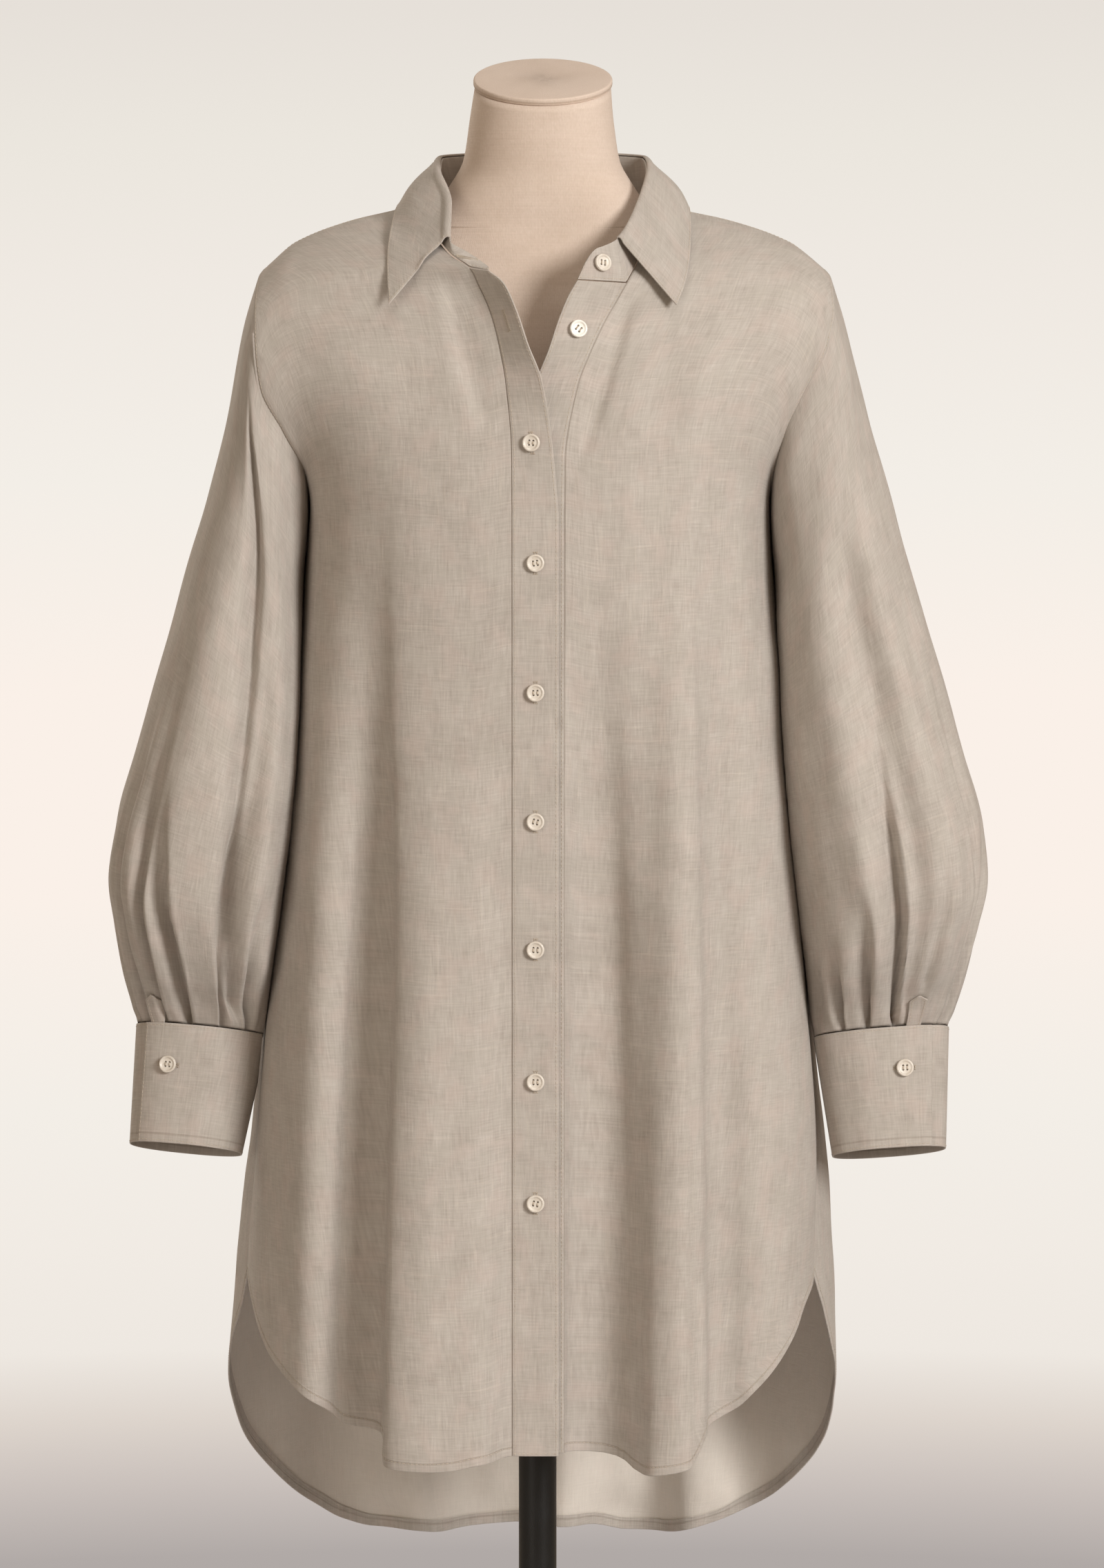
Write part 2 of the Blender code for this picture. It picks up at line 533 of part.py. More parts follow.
def back_panel(side_columns, neck_columns, low_rows, up_rows):
    """Grid of the back, from its hem to its shoulder seams and from its right side to its left."""
    share = np.linspace(0, 1, side_columns + 1)
    neck = np.linspace(0, 1, neck_columns + 1)[:-1]
    sweep = np.concatenate([neck * NECK_SHARE, mix(NECK_SHARE, 1.0, share)])
    climb = np.linspace(0, 1, low_rows + 1)[:, None]
    rise = np.linspace(0, 1, up_rows + 1)
    turn = neck * math.pi / 2
    depth, height = BACK_NECK
    halves = []
    for side in ("right", "left"):
        hem = read(BACK_HEM, side, sweep)
        across = np.broadcast_to(sweep, (low_rows + 1, len(sweep)))
        low = back_section(side, across, mix(hem, UNDERARM, climb))
        neckline = join(
            SIGN[side] * NECK_POINT[0] * np.sin(turn),
            mix(NECK_POINT[1], depth, np.cos(turn)),
            mix(NECK_POINT[2], height, np.cos(turn)),
        )
        top = np.concatenate([neckline, shoulder_seam(side, share)])
        turned = np.linspace(0, math.pi / 2, up_rows + 1)
        middle = mix(low[-1, 0][None], top[0][None], join(0.0 * turned, 1 - np.cos(turned), np.sin(turned)))
        up = stretched(low[-1], top, middle, armhole(side, "back", rise), rise, 0 * sweep, sweep**4)
        blades = np.sin(math.pi * rise) ** 2
        up[..., 1] += SHOULDER_BLADES * blades[:, None] * ease((1 - sweep) / 0.6)
        halves.append(np.concatenate([low, up[1:]]))
    return np.concatenate([halves[0][:, :0:-1], halves[1]], axis=1)


def band(side, panel_edge, low_rows, up_rows, columns):
    """Grid of a front band, from its seam to its free edge and from the hem to the neck."""
    rise = np.linspace(0, 1, up_rows + 1)
    rise = rise[rise <= NECK_ROW / UP_ROWS + 1e-6]
    seam = panel_edge[: low_rows + len(rise)]
    free_up = opening(FREE_EDGE, side, rise)
    free_low = seam[:low_rows].copy()
    free_low[:, 0] = SIGN[side] * BAND_EDGE[side]
    free_low[:, 1] += free_up[0, 1] - seam[low_rows, 1]
    free = np.concatenate([free_low, free_up])
    across = np.linspace(0, 1, columns)[None, :, None]
    return mix(seam[:, None], free[:, None], across)


def normals(grid):
    """Outward direction at each point of a grid whose rows rise and whose columns run left to right."""
    return unit(np.cross(np.gradient(grid, axis=1), np.gradient(grid, axis=0)))


def inset(grid, bottom=0.0, top=0.0, first=0.0, last=0.0):
    """The grid with its edges drawn in, to leave room at the seams."""
    grid = grid.copy()
    grid[0] += unit(grid[1] - grid[0]) * bottom
    grid[-1] += unit(grid[-2] - grid[-1]) * top
    grid[:, 0] += unit(grid[:, 1] - grid[:, 0]) * first
    grid[:, -1] += unit(grid[:, -2] - grid[:, -1]) * last
    return grid


def triangles(rows, columns, closed=False, crossed=0):
    """Faces of a grid; the first columns, up to the number crossed, are cut along the other diagonal."""
    faces = []
    for i in range(rows - 1):
        for j in range(columns if closed else columns - 1):
            k = (j + 1) % columns
            a, b, c, d = i * columns + j, i * columns + k, (i + 1) * columns + k, (i + 1) * columns + j
            faces += [(a, b, d), (b, c, d)] if j < crossed else [(a, b, c), (a, c, d)]
    return faces


class Surface:
    """The faces of grids, for keeping other points clear of them."""

    def __init__(self, grids):
        points, faces = [], []
        for grid, crossed in grids:
            rows, columns = grid.shape[:2]
            cut = triangles(rows, columns, crossed=crossed)
            faces += [tuple(len(points) + corner for corner in face) for face in cut]
            points += [Vector(point) for point in grid.reshape(-1, 3)]
        self.tree = BVHTree.FromPolygons(points, faces)

    def clear(self, grid, gap):
        """The grid's points, each moved off the surface until it is at least the gap away from it."""
        flat = grid.reshape(-1, 3).copy()
        for i, point in enumerate(flat):
            place, normal, _, _ = self.tree.find_nearest(Vector(point))
            offset = Vector(point) - place
            height = offset.dot(normal)
            beside = offset.length < gap or abs(height) > BESIDE * offset.length
            if height < gap and offset.length < NEARBY and beside:
                flat[i] += np.array(normal) * (gap - height)
        return flat.reshape(grid.shape)


def ring_points(table, side, share, turn):
    """Points of a sleeve or cuff; it turns forwards from the outer side."""
    cosine, sine = np.cos(turn), np.sin(turn)
    across = np.sign(cosine) * np.abs(cosine) ** SLEEVE_SQUARE
    forward = np.sign(sine) * np.abs(sine) ** SLEEVE_SQUARE
    toward = (1 + across) / 2
    x = mix(read(table, "inner_x", share), read(table, "outer_x", share), toward)
    z = mix(read(table, "inner_z", share), read(table, "outer_z", share), toward)
    reach = np.where(sine > 0, read(table, "front", share), read(table, "back", share))
    y = read(table, "middle", share) - forward * reach
    return join(SIGN[side] * x, y, z + forward * read(table, "tip", share))


def sleeve(side, around, rows):
    """Grid of a sleeve, from its cuff up to its armhole; columns run forwards round from the outer side."""
    share = np.linspace(0, 1, rows + 1)[:, None]
    turn = np.linspace(0, 2 * math.pi, around + 1)[:-1][None]
    rings = ring_points(SLEEVES[side], side, share, turn)
    climb = np.linspace(1, 0, around // 2 + 1)
    hole = np.concatenate([armhole(side, "front", climb), armhole(side, "back", climb[::-1])[1:-1]])
    held = 1 - ease(share / SLEEVE_BLEND)
    rings += held[..., None] * (hole - rings[0])[None]
    outward = unit(rings - rings.mean(axis=1, keepdims=True))
    swell = np.zeros(rings.shape[:2])
    degrees = np.degrees(turn)
    for wave in WAVES:
        if wave.side != side:
            continue
        centre = mix(wave.turn_top, wave.turn_hem, share)
        away = (degrees - centre + 180) % 360 - 180
        shown = ease((share - wave.start) / 0.2) * ease((wave.stop - share) / 0.08)
        swell = swell + wave.rise * np.exp(-((away / wave.width) ** 2)) * shown
    width = 180 / UP_ROWS
    beside = np.abs(degrees - (SLEEVE_PLACKET_COLUMN[side] + 0.5) * width)
    flat = ease((beside - 0.5 * width) / width)
    pleats = -np.cos(np.radians(degrees) * UP_ROWS) * PLEAT_DEPTH * ease((share - PLEAT_START) / 0.2) * flat
    rings += outward * (swell + pleats)[..., None]
    return rings[::-1]


def cuff(side, around, rows, lap_columns):
    """Grid of a cuff, from its edge up to the sleeve; it laps over itself at the button."""
    columns = np.arange(around + lap_columns + 1)
    turn = (CUFF_LAP_START[side] / (2 * UP_ROWS) + columns / around) * 2 * math.pi
    up = np.linspace(1, 0, rows + 1)[:, None]
    points = ring_points(CUFFS[side], side, up, turn[None])
    middle = points[:, :around].mean(axis=1, keepdims=True)
    over = ease((lap_columns + 2.5 - columns) / 2.0) * CUFF_LAP
    return points + unit(points - middle) * over[None, :, None]


def on_grid(grid, row, column):
    """Points on the faces of a grid, at places counted in rows and columns."""
    row, column = np.broadcast_arrays(row, column)
    i = np.clip(np.floor(row).astype(int), 0, grid.shape[0] - 2)
    j = np.clip(np.floor(column).astype(int), 0, grid.shape[1] - 2)
    up, over = (row - i)[..., None], (column - j)[..., None]
    a, b, c, d = grid[i, j], grid[i, j + 1], grid[i + 1, j + 1], grid[i + 1, j]
    return np.where(over >= up, a + over * (b - a) + up * (c - b), a + up * (d - a) + over * (c - d))


def facing(grid, row, column):
    """Direction that a grid faces at a place, if its columns run left to right there."""
    step = 0.1
    along = on_grid(grid, row, column + step) - on_grid(grid, row, column - step)
    up = on_grid(grid, row + step, column) - on_grid(grid, row - step, column)
    return unit(np.cross(along, up))


def sleeve_placket(side, grid):
    """Grid of the pointed band on the sleeve above the cuff, with its columns run as the sleeve's."""
    rise = np.array(PLACKET_RISE)[:, None]
    width = np.array(PLACKET_WIDTH)[:, None]
    middle = SLEEVE_PLACKET_COLUMN[side] + 0.5
    places = on_grid(grid, rise, middle + np.array([-0.5, 0.0, 0.5]) * width)
    return places - SIGN[side] * facing(grid, 0.5, middle) * PLACKET_LIFT


def neckline(fronts, back):
    """The neck seam, from the right band's free edge round the back to the left band's."""
    row = LOW_ROWS + NECK_ROW
    middle = (back.shape[1] - 1) // 2
    right = fronts["right"][row:, 0]
    left = fronts["left"][row:, 0]
    behind = back[-1, middle - NECK_COLUMNS : middle + NECK_COLUMNS + 1]
    ends = [opening(FREE_EDGE, side, np.array([NECK_ROW / UP_ROWS])) for side in ("right", "left")]
    return np.concatenate([ends[0], right, behind[1:-1], left[::-1], ends[1]])


def along(points):
    """Share of the way along a line of points, at each of them."""
    length = np.concatenate([[0.0], np.cumsum(np.linalg.norm(np.diff(points, axis=0), axis=1))])
    return length / length[-1]


def collar_stand(seam, rows):
    """Grid of the collar's stand, from the neck seam up to the roll line."""
    place = along(seam)
    top = join(*(read(ROLL_LINE, axis, place) for axis in "xyz"))
    up = np.linspace(0, 1, rows + 1)[:, None, None]
    lying = ease((STAND_LYING - place) / STAND_LYING)[:, None]
    foot = seam + unit(top - seam) * mix(2 * SEAM, 5 * SEAM, lying) + np.array([0.0, 0.0, SEAM])
    return mix(foot, top, up)[:, ::-1]


def collar_leaf(columns):
    """Grid of the collar's leaf, from its free edge up to the roll line and just over it."""
    place = np.linspace(LEAF_START, LEAF_END, columns + 1)
    roll = join(*(read(ROLL_LINE, axis, place) for axis in "xyz"))
    edge = join(*(read(LEAF_EDGE, axis, place) for axis in "xyz"))
    tangent = np.gradient(roll, axis=0)
    outward = unit(np.cross(tangent, np.array([0.0, 0.0, 1.0])) * -1.0)
    up = np.array([0.0, 0.0, 1.0])
    rows = [roll + outward * turned.out + up * turned.rise for turned in LEAF_ROLL]
    start = rows[-1]
    rounded = np.sin(math.pi * (place - LEAF_START) / (LEAF_END - LEAF_START)).clip(0.0)[:, None] ** 0.5
    for share in (0.25, 0.5, 0.75, 1.0):
        bulge = (outward * LEAF_BULGE.out + up * LEAF_BULGE.rise) * math.sin(math.pi * share) * rounded
        rows.append(mix(start, edge, share) + bulge)
    return np.array(rows)[::-1, ::-1]


def collection(name):
    found = bpy.data.collections.new(name)
    bpy.context.scene.collection.children.link(found)
    return found


def material(name, colour, roughness, metallic=0.0):
    made = bpy.data.materials.new(name)
    made.use_nodes = True
    shader = made.node_tree.nodes["Principled BSDF"]
    shader.inputs["Base Color"].default_value = (*colour, 1.0)
    shader.inputs["Roughness"].default_value = roughness
    shader.inputs["Metallic"].default_value = metallic
    made.diffuse_color = (*colour, 1.0)
    return made


def cloth(name, grid, group, finish, closed=False, crossed=0):
    """A wall of cloth whose outer side is the grid."""
    rows, columns = grid.shape[:2]
    mesh = bpy.data.meshes.new(name)
    shape = bmesh.new()
    points = [shape.verts.new(point) for point in grid.reshape(-1, 3)]
    for face in triangles(rows, columns, closed, crossed):
        shape.faces.new([points[corner] for corner in face])
    shape.to_mesh(mesh)
    shape.free()
    mesh.shade_smooth()
    piece = bpy.data.objects.new(name, mesh)
    wall = piece.modifiers.new("wall", "SOLIDIFY")
    wall.thickness = CLOTH
    wall.offset = -1.0
    piece.data.materials.append(finish)
    group.objects.link(piece)
    return piece


def turned(name, profile, sides, group, finish):
    """A solid of revolution about Z, from a profile that runs down its outer side."""
    mesh = bpy.data.meshes.new(name)
    points = [(radius, 0.0, height) for radius, height in profile]
    mesh.from_pydata(points, [(i, i + 1) for i in range(len(profile) - 1)], [])
    piece = bpy.data.objects.new(name, mesh)
    spin = piece.modifiers.new("turn", "SCREW")
    spin.steps = spin.render_steps = sides
    spin.use_merge_vertices = True
    spin.merge_threshold = 0.0001
    piece.data.materials.append(finish)
    group.objects.link(piece)
    return piece


def button(name, place, outward, group, finish):
    """A round button with a raised rim, lying flat against the cloth at a place."""
    rim = BUTTON_RADIUS * 0.72
    profile = (
        (0.0, BUTTON_THICK * 0.72),
        (rim, BUTTON_THICK * 0.72),
        (BUTTON_RADIUS * 0.84, BUTTON_THICK),
        (BUTTON_RADIUS, BUTTON_THICK * 0.6),
        (BUTTON_RADIUS * 0.8, 0.0),
        (0.0, 0.0),
    )
    piece = turned(name, profile, BUTTON_SIDES, group, finish)
    piece.rotation_mode = "QUATERNION"
    piece.rotation_quaternion = Vector(outward).to_track_quat("Z", "Y")
    piece.location = Vector(place) + Vector(outward) * BUTTON_GAP
    return piece


def nearest_row(grid, height):
    """The point on the middle line of a band at a height, and the way that the band faces there."""
    line = grid[:, grid.shape[1] // 2]
    order = np.argsort(line[:, 2])
    place = [np.interp(height, line[order, 2], line[order, axis]) for axis in range(3)]
    outward = normals(grid)[:, grid.shape[1] // 2]
    direction = [np.interp(height, line[order, 2], outward[order, axis]) for axis in range(3)]
    return np.array(place), unit(np.array(direction))


def torso_grid():
    """Rings of the dress form, from the underside up to the neck."""
    turn = np.linspace(0, 2 * math.pi, TORSO_SIDES + 1)[:-1]
    rings = []
    for slice_ in TORSO:
        reach = np.where(np.sin(turn) > 0, slice_.back, slice_.front)
        x = slice_.wide * np.sign(np.cos(turn)) * np.abs(np.cos(turn)) ** 0.9
        y = reach * np.sign(np.sin(turn)) * np.abs(np.sin(turn)) ** 0.9
        slope = math.tan(math.radians(slice_.tilt))
        rings.append(join(slice_.middle_x + x, slice_.middle_y + y, slice_.height + y * slope))
    return np.array(rings)


def solid_of_rings(name, rings, group, finish):
    """A closed solid whose ends are the first and last rings."""
    rows, columns = rings.shape[:2]
    mesh = bpy.data.meshes.new(name)
    shape = bmesh.new()
    points = [shape.verts.new(point) for point in rings.reshape(-1, 3)]
    for face in triangles(rows, columns, closed=True):
        shape.faces.new([points[corner] for corner in face])
    shape.faces.new(points[:columns][::-1])
    shape.faces.new(points[-columns:])
    shape.to_mesh(mesh)
    shape.free()
    mesh.shade_smooth()
    piece = bpy.data.objects.new(name, mesh)
    piece.data.materials.append(finish)
    group.objects.link(piece)
    return piece


def build_dress(group):
    linen = material("linen", LINEN, 0.9)
    resin = material("button resin", RESIN, 0.35)
    fronts = {side: front_panel(side, FRONT_COLUMNS, LOW_ROWS, UP_ROWS) for side in SIGN}
    back = back_panel(FRONT_COLUMNS, NECK_COLUMNS, LOW_ROWS, UP_ROWS)
    half = back.shape[1] // 2
    body = Surface(((fronts["right"][:, ::-1], FRONT_COLUMNS), (fronts["left"], 0), (back[:, ::-1], half)))

    panel = inset(back, top=SEAM, first=SEAM, last=SEAM)
    cloth("dress_back", panel[:, ::-1], group, linen, crossed=half)
    bands = {}
    for side in SIGN:
        panel = inset(fronts[side], top=SEAM, first=SEAM, last=SEAM)
        grid = band(side, fronts[side][:, 0], LOW_ROWS, UP_ROWS, BAND_COLUMNS)
        bands[side] = grid if side == "right" else grid[:, ::-1]
        if side == "right":
            cloth("dress_front_right", panel[:, ::-1], group, linen, crossed=FRONT_COLUMNS)
        else:
            cloth("dress_front_left", panel, group, linen)
        cloth("placket_" + side, bands[side], group, linen)

    seam = neckline(fronts, back)
    stand = collar_stand(seam, STAND_ROWS)
    cloth("collar_stand", stand, group, linen)
    leaf = collar_leaf(LEAF_COLUMNS)
    leaf[:-3] = body.clear(leaf[:-3], LEAF_CLEAR)
    cloth("collar_leaf", leaf, group, linen)

    for side in SIGN:
        around = 2 * UP_ROWS
        order = int(-SIGN[side])
        grid = inset(sleeve(side, around, SLEEVE_ROWS), top=SLEEVE_INSET)
        head = np.cos(np.linspace(0, 2 * math.pi, around + 1))[:-1]
        grid[-1, :, 0] += SIGN[side] * CLOTH * SLEEVE_PROUD * ease(head + 0.8)
        grid[:-1] = body.clear(grid[:-1], SLEEVE_CLEAR)
        grid[-1:] = body.clear(grid[-1:], 3 * SEAM)
        cloth("sleeve_" + side, grid[:, ::order], group, linen, closed=True)
        strip = sleeve_placket(side, grid)
        cloth("sleeve_placket_" + side, strip[:, ::order], group, linen)
        wrap = body.clear(cuff(side, around, CUFF_ROWS, CUFF_LAP_COLUMNS), SLEEVE_CLEAR)
        cloth("cuff_" + side, wrap[:, ::order], group, linen)
        row, column = CUFF_BUTTON[side]
        outward = facing(wrap, row, column) * order
        button("cuff_button_" + side, on_grid(wrap, row, column), outward, group, resin)

    row, column = STAND_BUTTON
    button("button_stand", on_grid(stand, row, column), facing(stand, row, column), group, resin)
    for name, side, height in BUTTON_PLACES:
        place, outward = nearest_row(bands[side], height)
        button(name, place, outward, group, resin)


def build_form(group):
    padding = material("form cover", PADDING, 0.8)
    paint = material("black paint", BLACK, 0.4, 0.3)
    rings = torso_grid()
    solid_of_rings("form_torso", rings, group, padding)
    top = TORSO[-1]
    radius = top.wide + CAP_OVERHANG
    cap = turned(
        "form_neck_cap",
        (
            (0.0, CAP_THICK),
            (radius - CAP_ROUND, CAP_THICK),
            (radius, CAP_THICK - CAP_ROUND),
            (radius, 0.0),
            (0.0, 0.0),
        ),
        TORSO_SIDES,
        group,
        padding,
    )
    lean = Matrix.Rotation(math.radians(top.tilt), 4, "X")
    lift = lean @ Vector((0.0, 0.0, PART_GAP))
    cap.matrix_world = Matrix.Translation(Vector((top.middle_x, top.middle_y, top.height)) + lift) @ lean

    under = TORSO[0].height - PART_GAP
    collar_radius, collar_length = SOCKET_COLLAR
    turned(
        "stand_socket",
        (
            (0.0, under),
            (SOCKET_RADIUS, under),
            (SOCKET_RADIUS, under - SOCKET_THICK),
            (collar_radius, under - SOCKET_THICK),
            (collar_radius, under - collar_length),
            (0.0, under - collar_length),
        ),
        24,
        group,
        paint,
    )
    boss_radius, boss_height = BASE_BOSS
    pole_top = under - collar_length - PART_GAP
    pole_foot = boss_height + PART_GAP
    turned(
        "stand_pole",
        ((0.0, pole_top), (POLE_RADIUS, pole_top), (POLE_RADIUS, pole_foot), (0.0, pole_foot)),
        20,
        group,
        paint,
    )
    turned(
        "stand_base",
        (
            (0.0, boss_height),
            (boss_radius, boss_height),
            (boss_radius, BASE_THICK),
            (BASE_RADIUS * 0.9, BASE_EDGE * 1.4),
            (BASE_RADIUS, BASE_EDGE),
            (BASE_RADIUS, 0.0),
            (0.0, 0.0),
        ),
        40,
        group,
        paint,
    )


def main():
    for old in list(bpy.data.objects):
        bpy.data.objects.remove(old, do_unlink=True)
    group = collection("shirt dress on a dress form")
    build_dress(group)
    build_form(group)


if __name__ == "__main__":
    main()
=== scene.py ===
"""Looks of a long-sleeved linen shirt dress, buttoned on a limbless dress form with a round stand.

The file is laid out as an add-on with a panel in the sidebar, and it runs as a plain script.
Sizes are in metres. The dress faces -Y, and right and left are the wearer's, so right is at -X.
"""

import math
from collections import namedtuple

import bpy
import numpy as np
from mathutils import Matrix, Vector
from mathutils.bvhtree import BVHTree


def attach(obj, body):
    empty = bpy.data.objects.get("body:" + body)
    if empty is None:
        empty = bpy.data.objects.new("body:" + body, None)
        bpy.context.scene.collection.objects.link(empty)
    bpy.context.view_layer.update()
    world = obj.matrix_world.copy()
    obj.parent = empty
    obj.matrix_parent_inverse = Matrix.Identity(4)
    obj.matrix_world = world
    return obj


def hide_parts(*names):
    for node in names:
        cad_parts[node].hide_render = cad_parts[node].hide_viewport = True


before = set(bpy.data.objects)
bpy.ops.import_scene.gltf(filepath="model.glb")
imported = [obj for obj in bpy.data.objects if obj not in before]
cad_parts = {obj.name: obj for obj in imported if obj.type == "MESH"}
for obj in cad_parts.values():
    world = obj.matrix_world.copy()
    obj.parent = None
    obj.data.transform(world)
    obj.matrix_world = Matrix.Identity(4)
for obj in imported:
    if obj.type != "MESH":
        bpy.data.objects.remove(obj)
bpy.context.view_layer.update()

bl_info = {
    "name": "Linen shirt dress",
    "version": (1, 0, 0),
    "blender": (4, 5, 0),
    "location": "View3D > Sidebar > Shirt dress",
    "description": "A linen shirt dress on a limbless dress form, with its stage",
    "category": "Object",
}


def table(columns, *rows):
    """Rows of numbers whose columns have names."""
    row = namedtuple("Row", columns)
    return [row(*values) for values in rows]


SIGN = {"right": -1.0, "left": 1.0}

# A share too small to matter, and the length below which a vector has no direction
TINY = 1e-6
NO_LENGTH = 1e-9

# Heights of the main levels
UNDERARM = 1.306
HEM_LEVEL = 0.62
NECK_POINT = (0.082, -0.004, 1.521)

# Grid of each panel
UP_ROWS = 12
NECK_ROW = 8
NECK_SHARE = 0.3

# The front bands: the right one laps on top of the left one
BAND_SEAM = {"right": 0.0175, "left": 0.019}
BAND_EDGE = {"right": -0.0152, "left": -0.0145}
BAND_LAP = {"right": 0.0024, "left": 0.0}

# A section of the skirt is a rounded square to this degree, 1 being an ellipse
SQUARE_FRONT = 0.84
SQUARE_BACK = 0.88

# Sections of the body below the underarm
SKIRT = table(
    "height seam_right seam_left wide_right wide_left front back seam_depth wide_depth",
    (0.500, 0.2130, 0.2030, 0.2330, 0.2240, 0.1700, 0.1660, -0.032, 0.040),
    (0.640, 0.2120, 0.2020, 0.2290, 0.2200, 0.1660, 0.1600, -0.032, 0.038),
    (0.744, 0.2103, 0.2003, 0.2212, 0.2175, 0.1610, 0.1520, -0.030, 0.034),
    (0.835, 0.2040, 0.2020, 0.2110, 0.2105, 0.1560, 0.1430, -0.026, 0.028),
    (0.929, 0.1965, 0.1965, 0.1985, 0.1995, 0.1510, 0.1350, -0.018, 0.016),
    (1.039, 0.1844, 0.1880, 0.1850, 0.1885, 0.1475, 0.1270, -0.012, 0.002),
    (1.159, 0.1751, 0.1790, 0.1753, 0.1792, 0.1450, 0.1200, -0.006, 0.000),
    (1.247, 0.1681, 0.1704, 0.1681, 0.1704, 0.1440, 0.1160, -0.002, 0.000),
    (1.306, 0.1625, 0.1660, 0.1625, 0.1660, 0.1405, 0.1150, 0.000, 0.000),
)

# Heights of the two hems on each side, by the share of the way from the middle to the side seam
FRONT_HEM = table(
    "sweep right left",
    (0.00, 0.6395, 0.6410),
    (0.06, 0.6370, 0.6360),
    (0.10, 0.6340, 0.6285),
    (0.15, 0.6330, 0.6275),
    (0.20, 0.6335, 0.6290),
    (0.25, 0.6360, 0.6320),
    (0.30, 0.6510, 0.6540),
    (0.36, 0.6565, 0.6570),
    (0.43, 0.6660, 0.6645),
    (0.51, 0.6770, 0.6805),
    (0.60, 0.6880, 0.6990),
    (0.69, 0.7010, 0.7170),
    (0.77, 0.7165, 0.7305),
    (0.85, 0.7340, 0.7390),
    (0.93, 0.7430, 0.7435),
    (1.00, 0.7460, 0.7460),
)
BACK_HEM = table(
    "sweep right left",
    (0.00, 0.5190, 0.5190),
    (0.06, 0.5150, 0.5195),
    (0.12, 0.5135, 0.5115),
    (0.18, 0.5175, 0.5120),
    (0.24, 0.5170, 0.5190),
    (0.30, 0.5240, 0.5265),
    (0.36, 0.5380, 0.5375),
    (0.43, 0.5540, 0.5520),
    (0.51, 0.5750, 0.5700),
    (0.60, 0.6000, 0.5930),
    (0.67, 0.6220, 0.6130),
    (0.74, 0.6450, 0.6350),
    (0.82, 0.6730, 0.6640),
    (0.90, 0.6990, 0.6950),
    (0.96, 0.7230, 0.7230),
    (1.00, 0.7460, 0.7460),
)

# Folds of the skirt: each is a band between two edges in X, soft at both, that swells down to the hem
FOLD_COLUMNS = "start from_top to_top from_hem to_hem soft_from soft_to rise growth"
FOLDS = {
    "front": table(
        FOLD_COLUMNS,
        (1.22, -0.112, -0.040, -0.108, -0.026, 0.006, 0.012, 0.030, 1.2),
        (1.30, -0.128, -0.106, -0.130, -0.112, 0.008, 0.006, -0.016, 0.6),
        (1.32, -0.158, -0.136, -0.172, -0.142, 0.012, 0.012, 0.010, 0.7),
        (1.30, 0.038, 0.056, 0.030, 0.050, 0.010, 0.010, -0.014, 0.7),
        (1.34, 0.096, 0.110, 0.066, 0.117, 0.012, 0.005, 0.024, 0.8),
        (1.34, 0.124, 0.144, 0.122, 0.146, 0.006, 0.008, -0.010, 0.6),
        (1.30, 0.160, 0.178, 0.164, 0.186, 0.010, 0.010, 0.006, 0.7),
    ),
    "back": table(
        FOLD_COLUMNS,
        (1.25, -0.150, -0.110, -0.170, -0.108, 0.016, 0.012, 0.018, 1.0),
        (1.20, -0.096, -0.076, -0.100, -0.078, 0.012, 0.012, -0.014, 1.0),
        (1.30, -0.060, -0.012, -0.064, -0.006, 0.014, 0.014, 0.020, 1.0),
        (1.20, 0.004, 0.024, 0.006, 0.032, 0.012, 0.012, -0.014, 1.0),
        (1.28, 0.036, 0.078, 0.044, 0.096, 0.014, 0.014, 0.020, 1.0),
        (1.20, 0.088, 0.104, 0.104, 0.124, 0.012, 0.012, -0.012, 1.0),
        (1.25, 0.112, 0.146, 0.130, 0.172, 0.014, 0.016, 0.016, 1.0),
    ),
}

# Inner edge of each front above the underarm: up the band's seam to the neck, then round the neckline
OPENING = table(
    "rise right_x right_y right_z left_x left_y left_z",
    (0.0000, 0.0175, -0.1429, 1.3060, 0.0190, -0.1405, 1.3060),
    (0.1667, 0.0177, -0.1385, 1.3480, 0.0195, -0.1360, 1.3450),
    (0.3333, 0.0215, -0.1270, 1.3950, 0.0285, -0.1245, 1.3950),
    (0.4167, 0.0255, -0.1195, 1.4190, 0.0375, -0.1180, 1.4180),
    (0.5000, 0.0316, -0.1130, 1.4435, 0.0475, -0.1100, 1.4390),
    (0.5833, 0.0400, -0.1050, 1.4630, 0.0555, -0.1035, 1.4525),
    (0.6667, 0.0470, -0.1080, 1.4765, 0.0630, -0.0990, 1.4655),
    (0.7500, 0.0600, -0.0960, 1.4840, 0.0700, -0.0850, 1.4780),
    (0.8333, 0.0710, -0.0680, 1.4960, 0.0770, -0.0600, 1.4940),
    (0.9167, 0.0790, -0.0360, 1.5110, 0.0815, -0.0310, 1.5105),
    (1.0000, 0.0820, -0.0040, 1.5210, 0.0820, -0.0040, 1.5210),
)

# Free edge of each band above the underarm, up to the neck
FREE_EDGE = table(
    "rise right_x right_y right_z left_x left_y left_z",
    (0.0000, -0.0152, -0.1432, 1.3060, -0.0145, -0.1408, 1.3060),
    (0.1667, -0.0112, -0.1420, 1.3500, -0.0125, -0.1370, 1.3450),
    (0.3333, -0.0035, -0.1390, 1.3990, -0.0020, -0.1260, 1.3940),
    (0.4167, 0.0060, -0.1370, 1.4235, 0.0078, -0.1210, 1.4190),
    (0.5000, 0.0140, -0.1330, 1.4470, 0.0160, -0.1180, 1.4430),
    (0.5833, 0.0238, -0.1250, 1.4670, 0.0225, -0.1165, 1.4580),
    (0.6667, 0.0340, -0.1180, 1.4750, 0.0285, -0.1150, 1.4680),
)

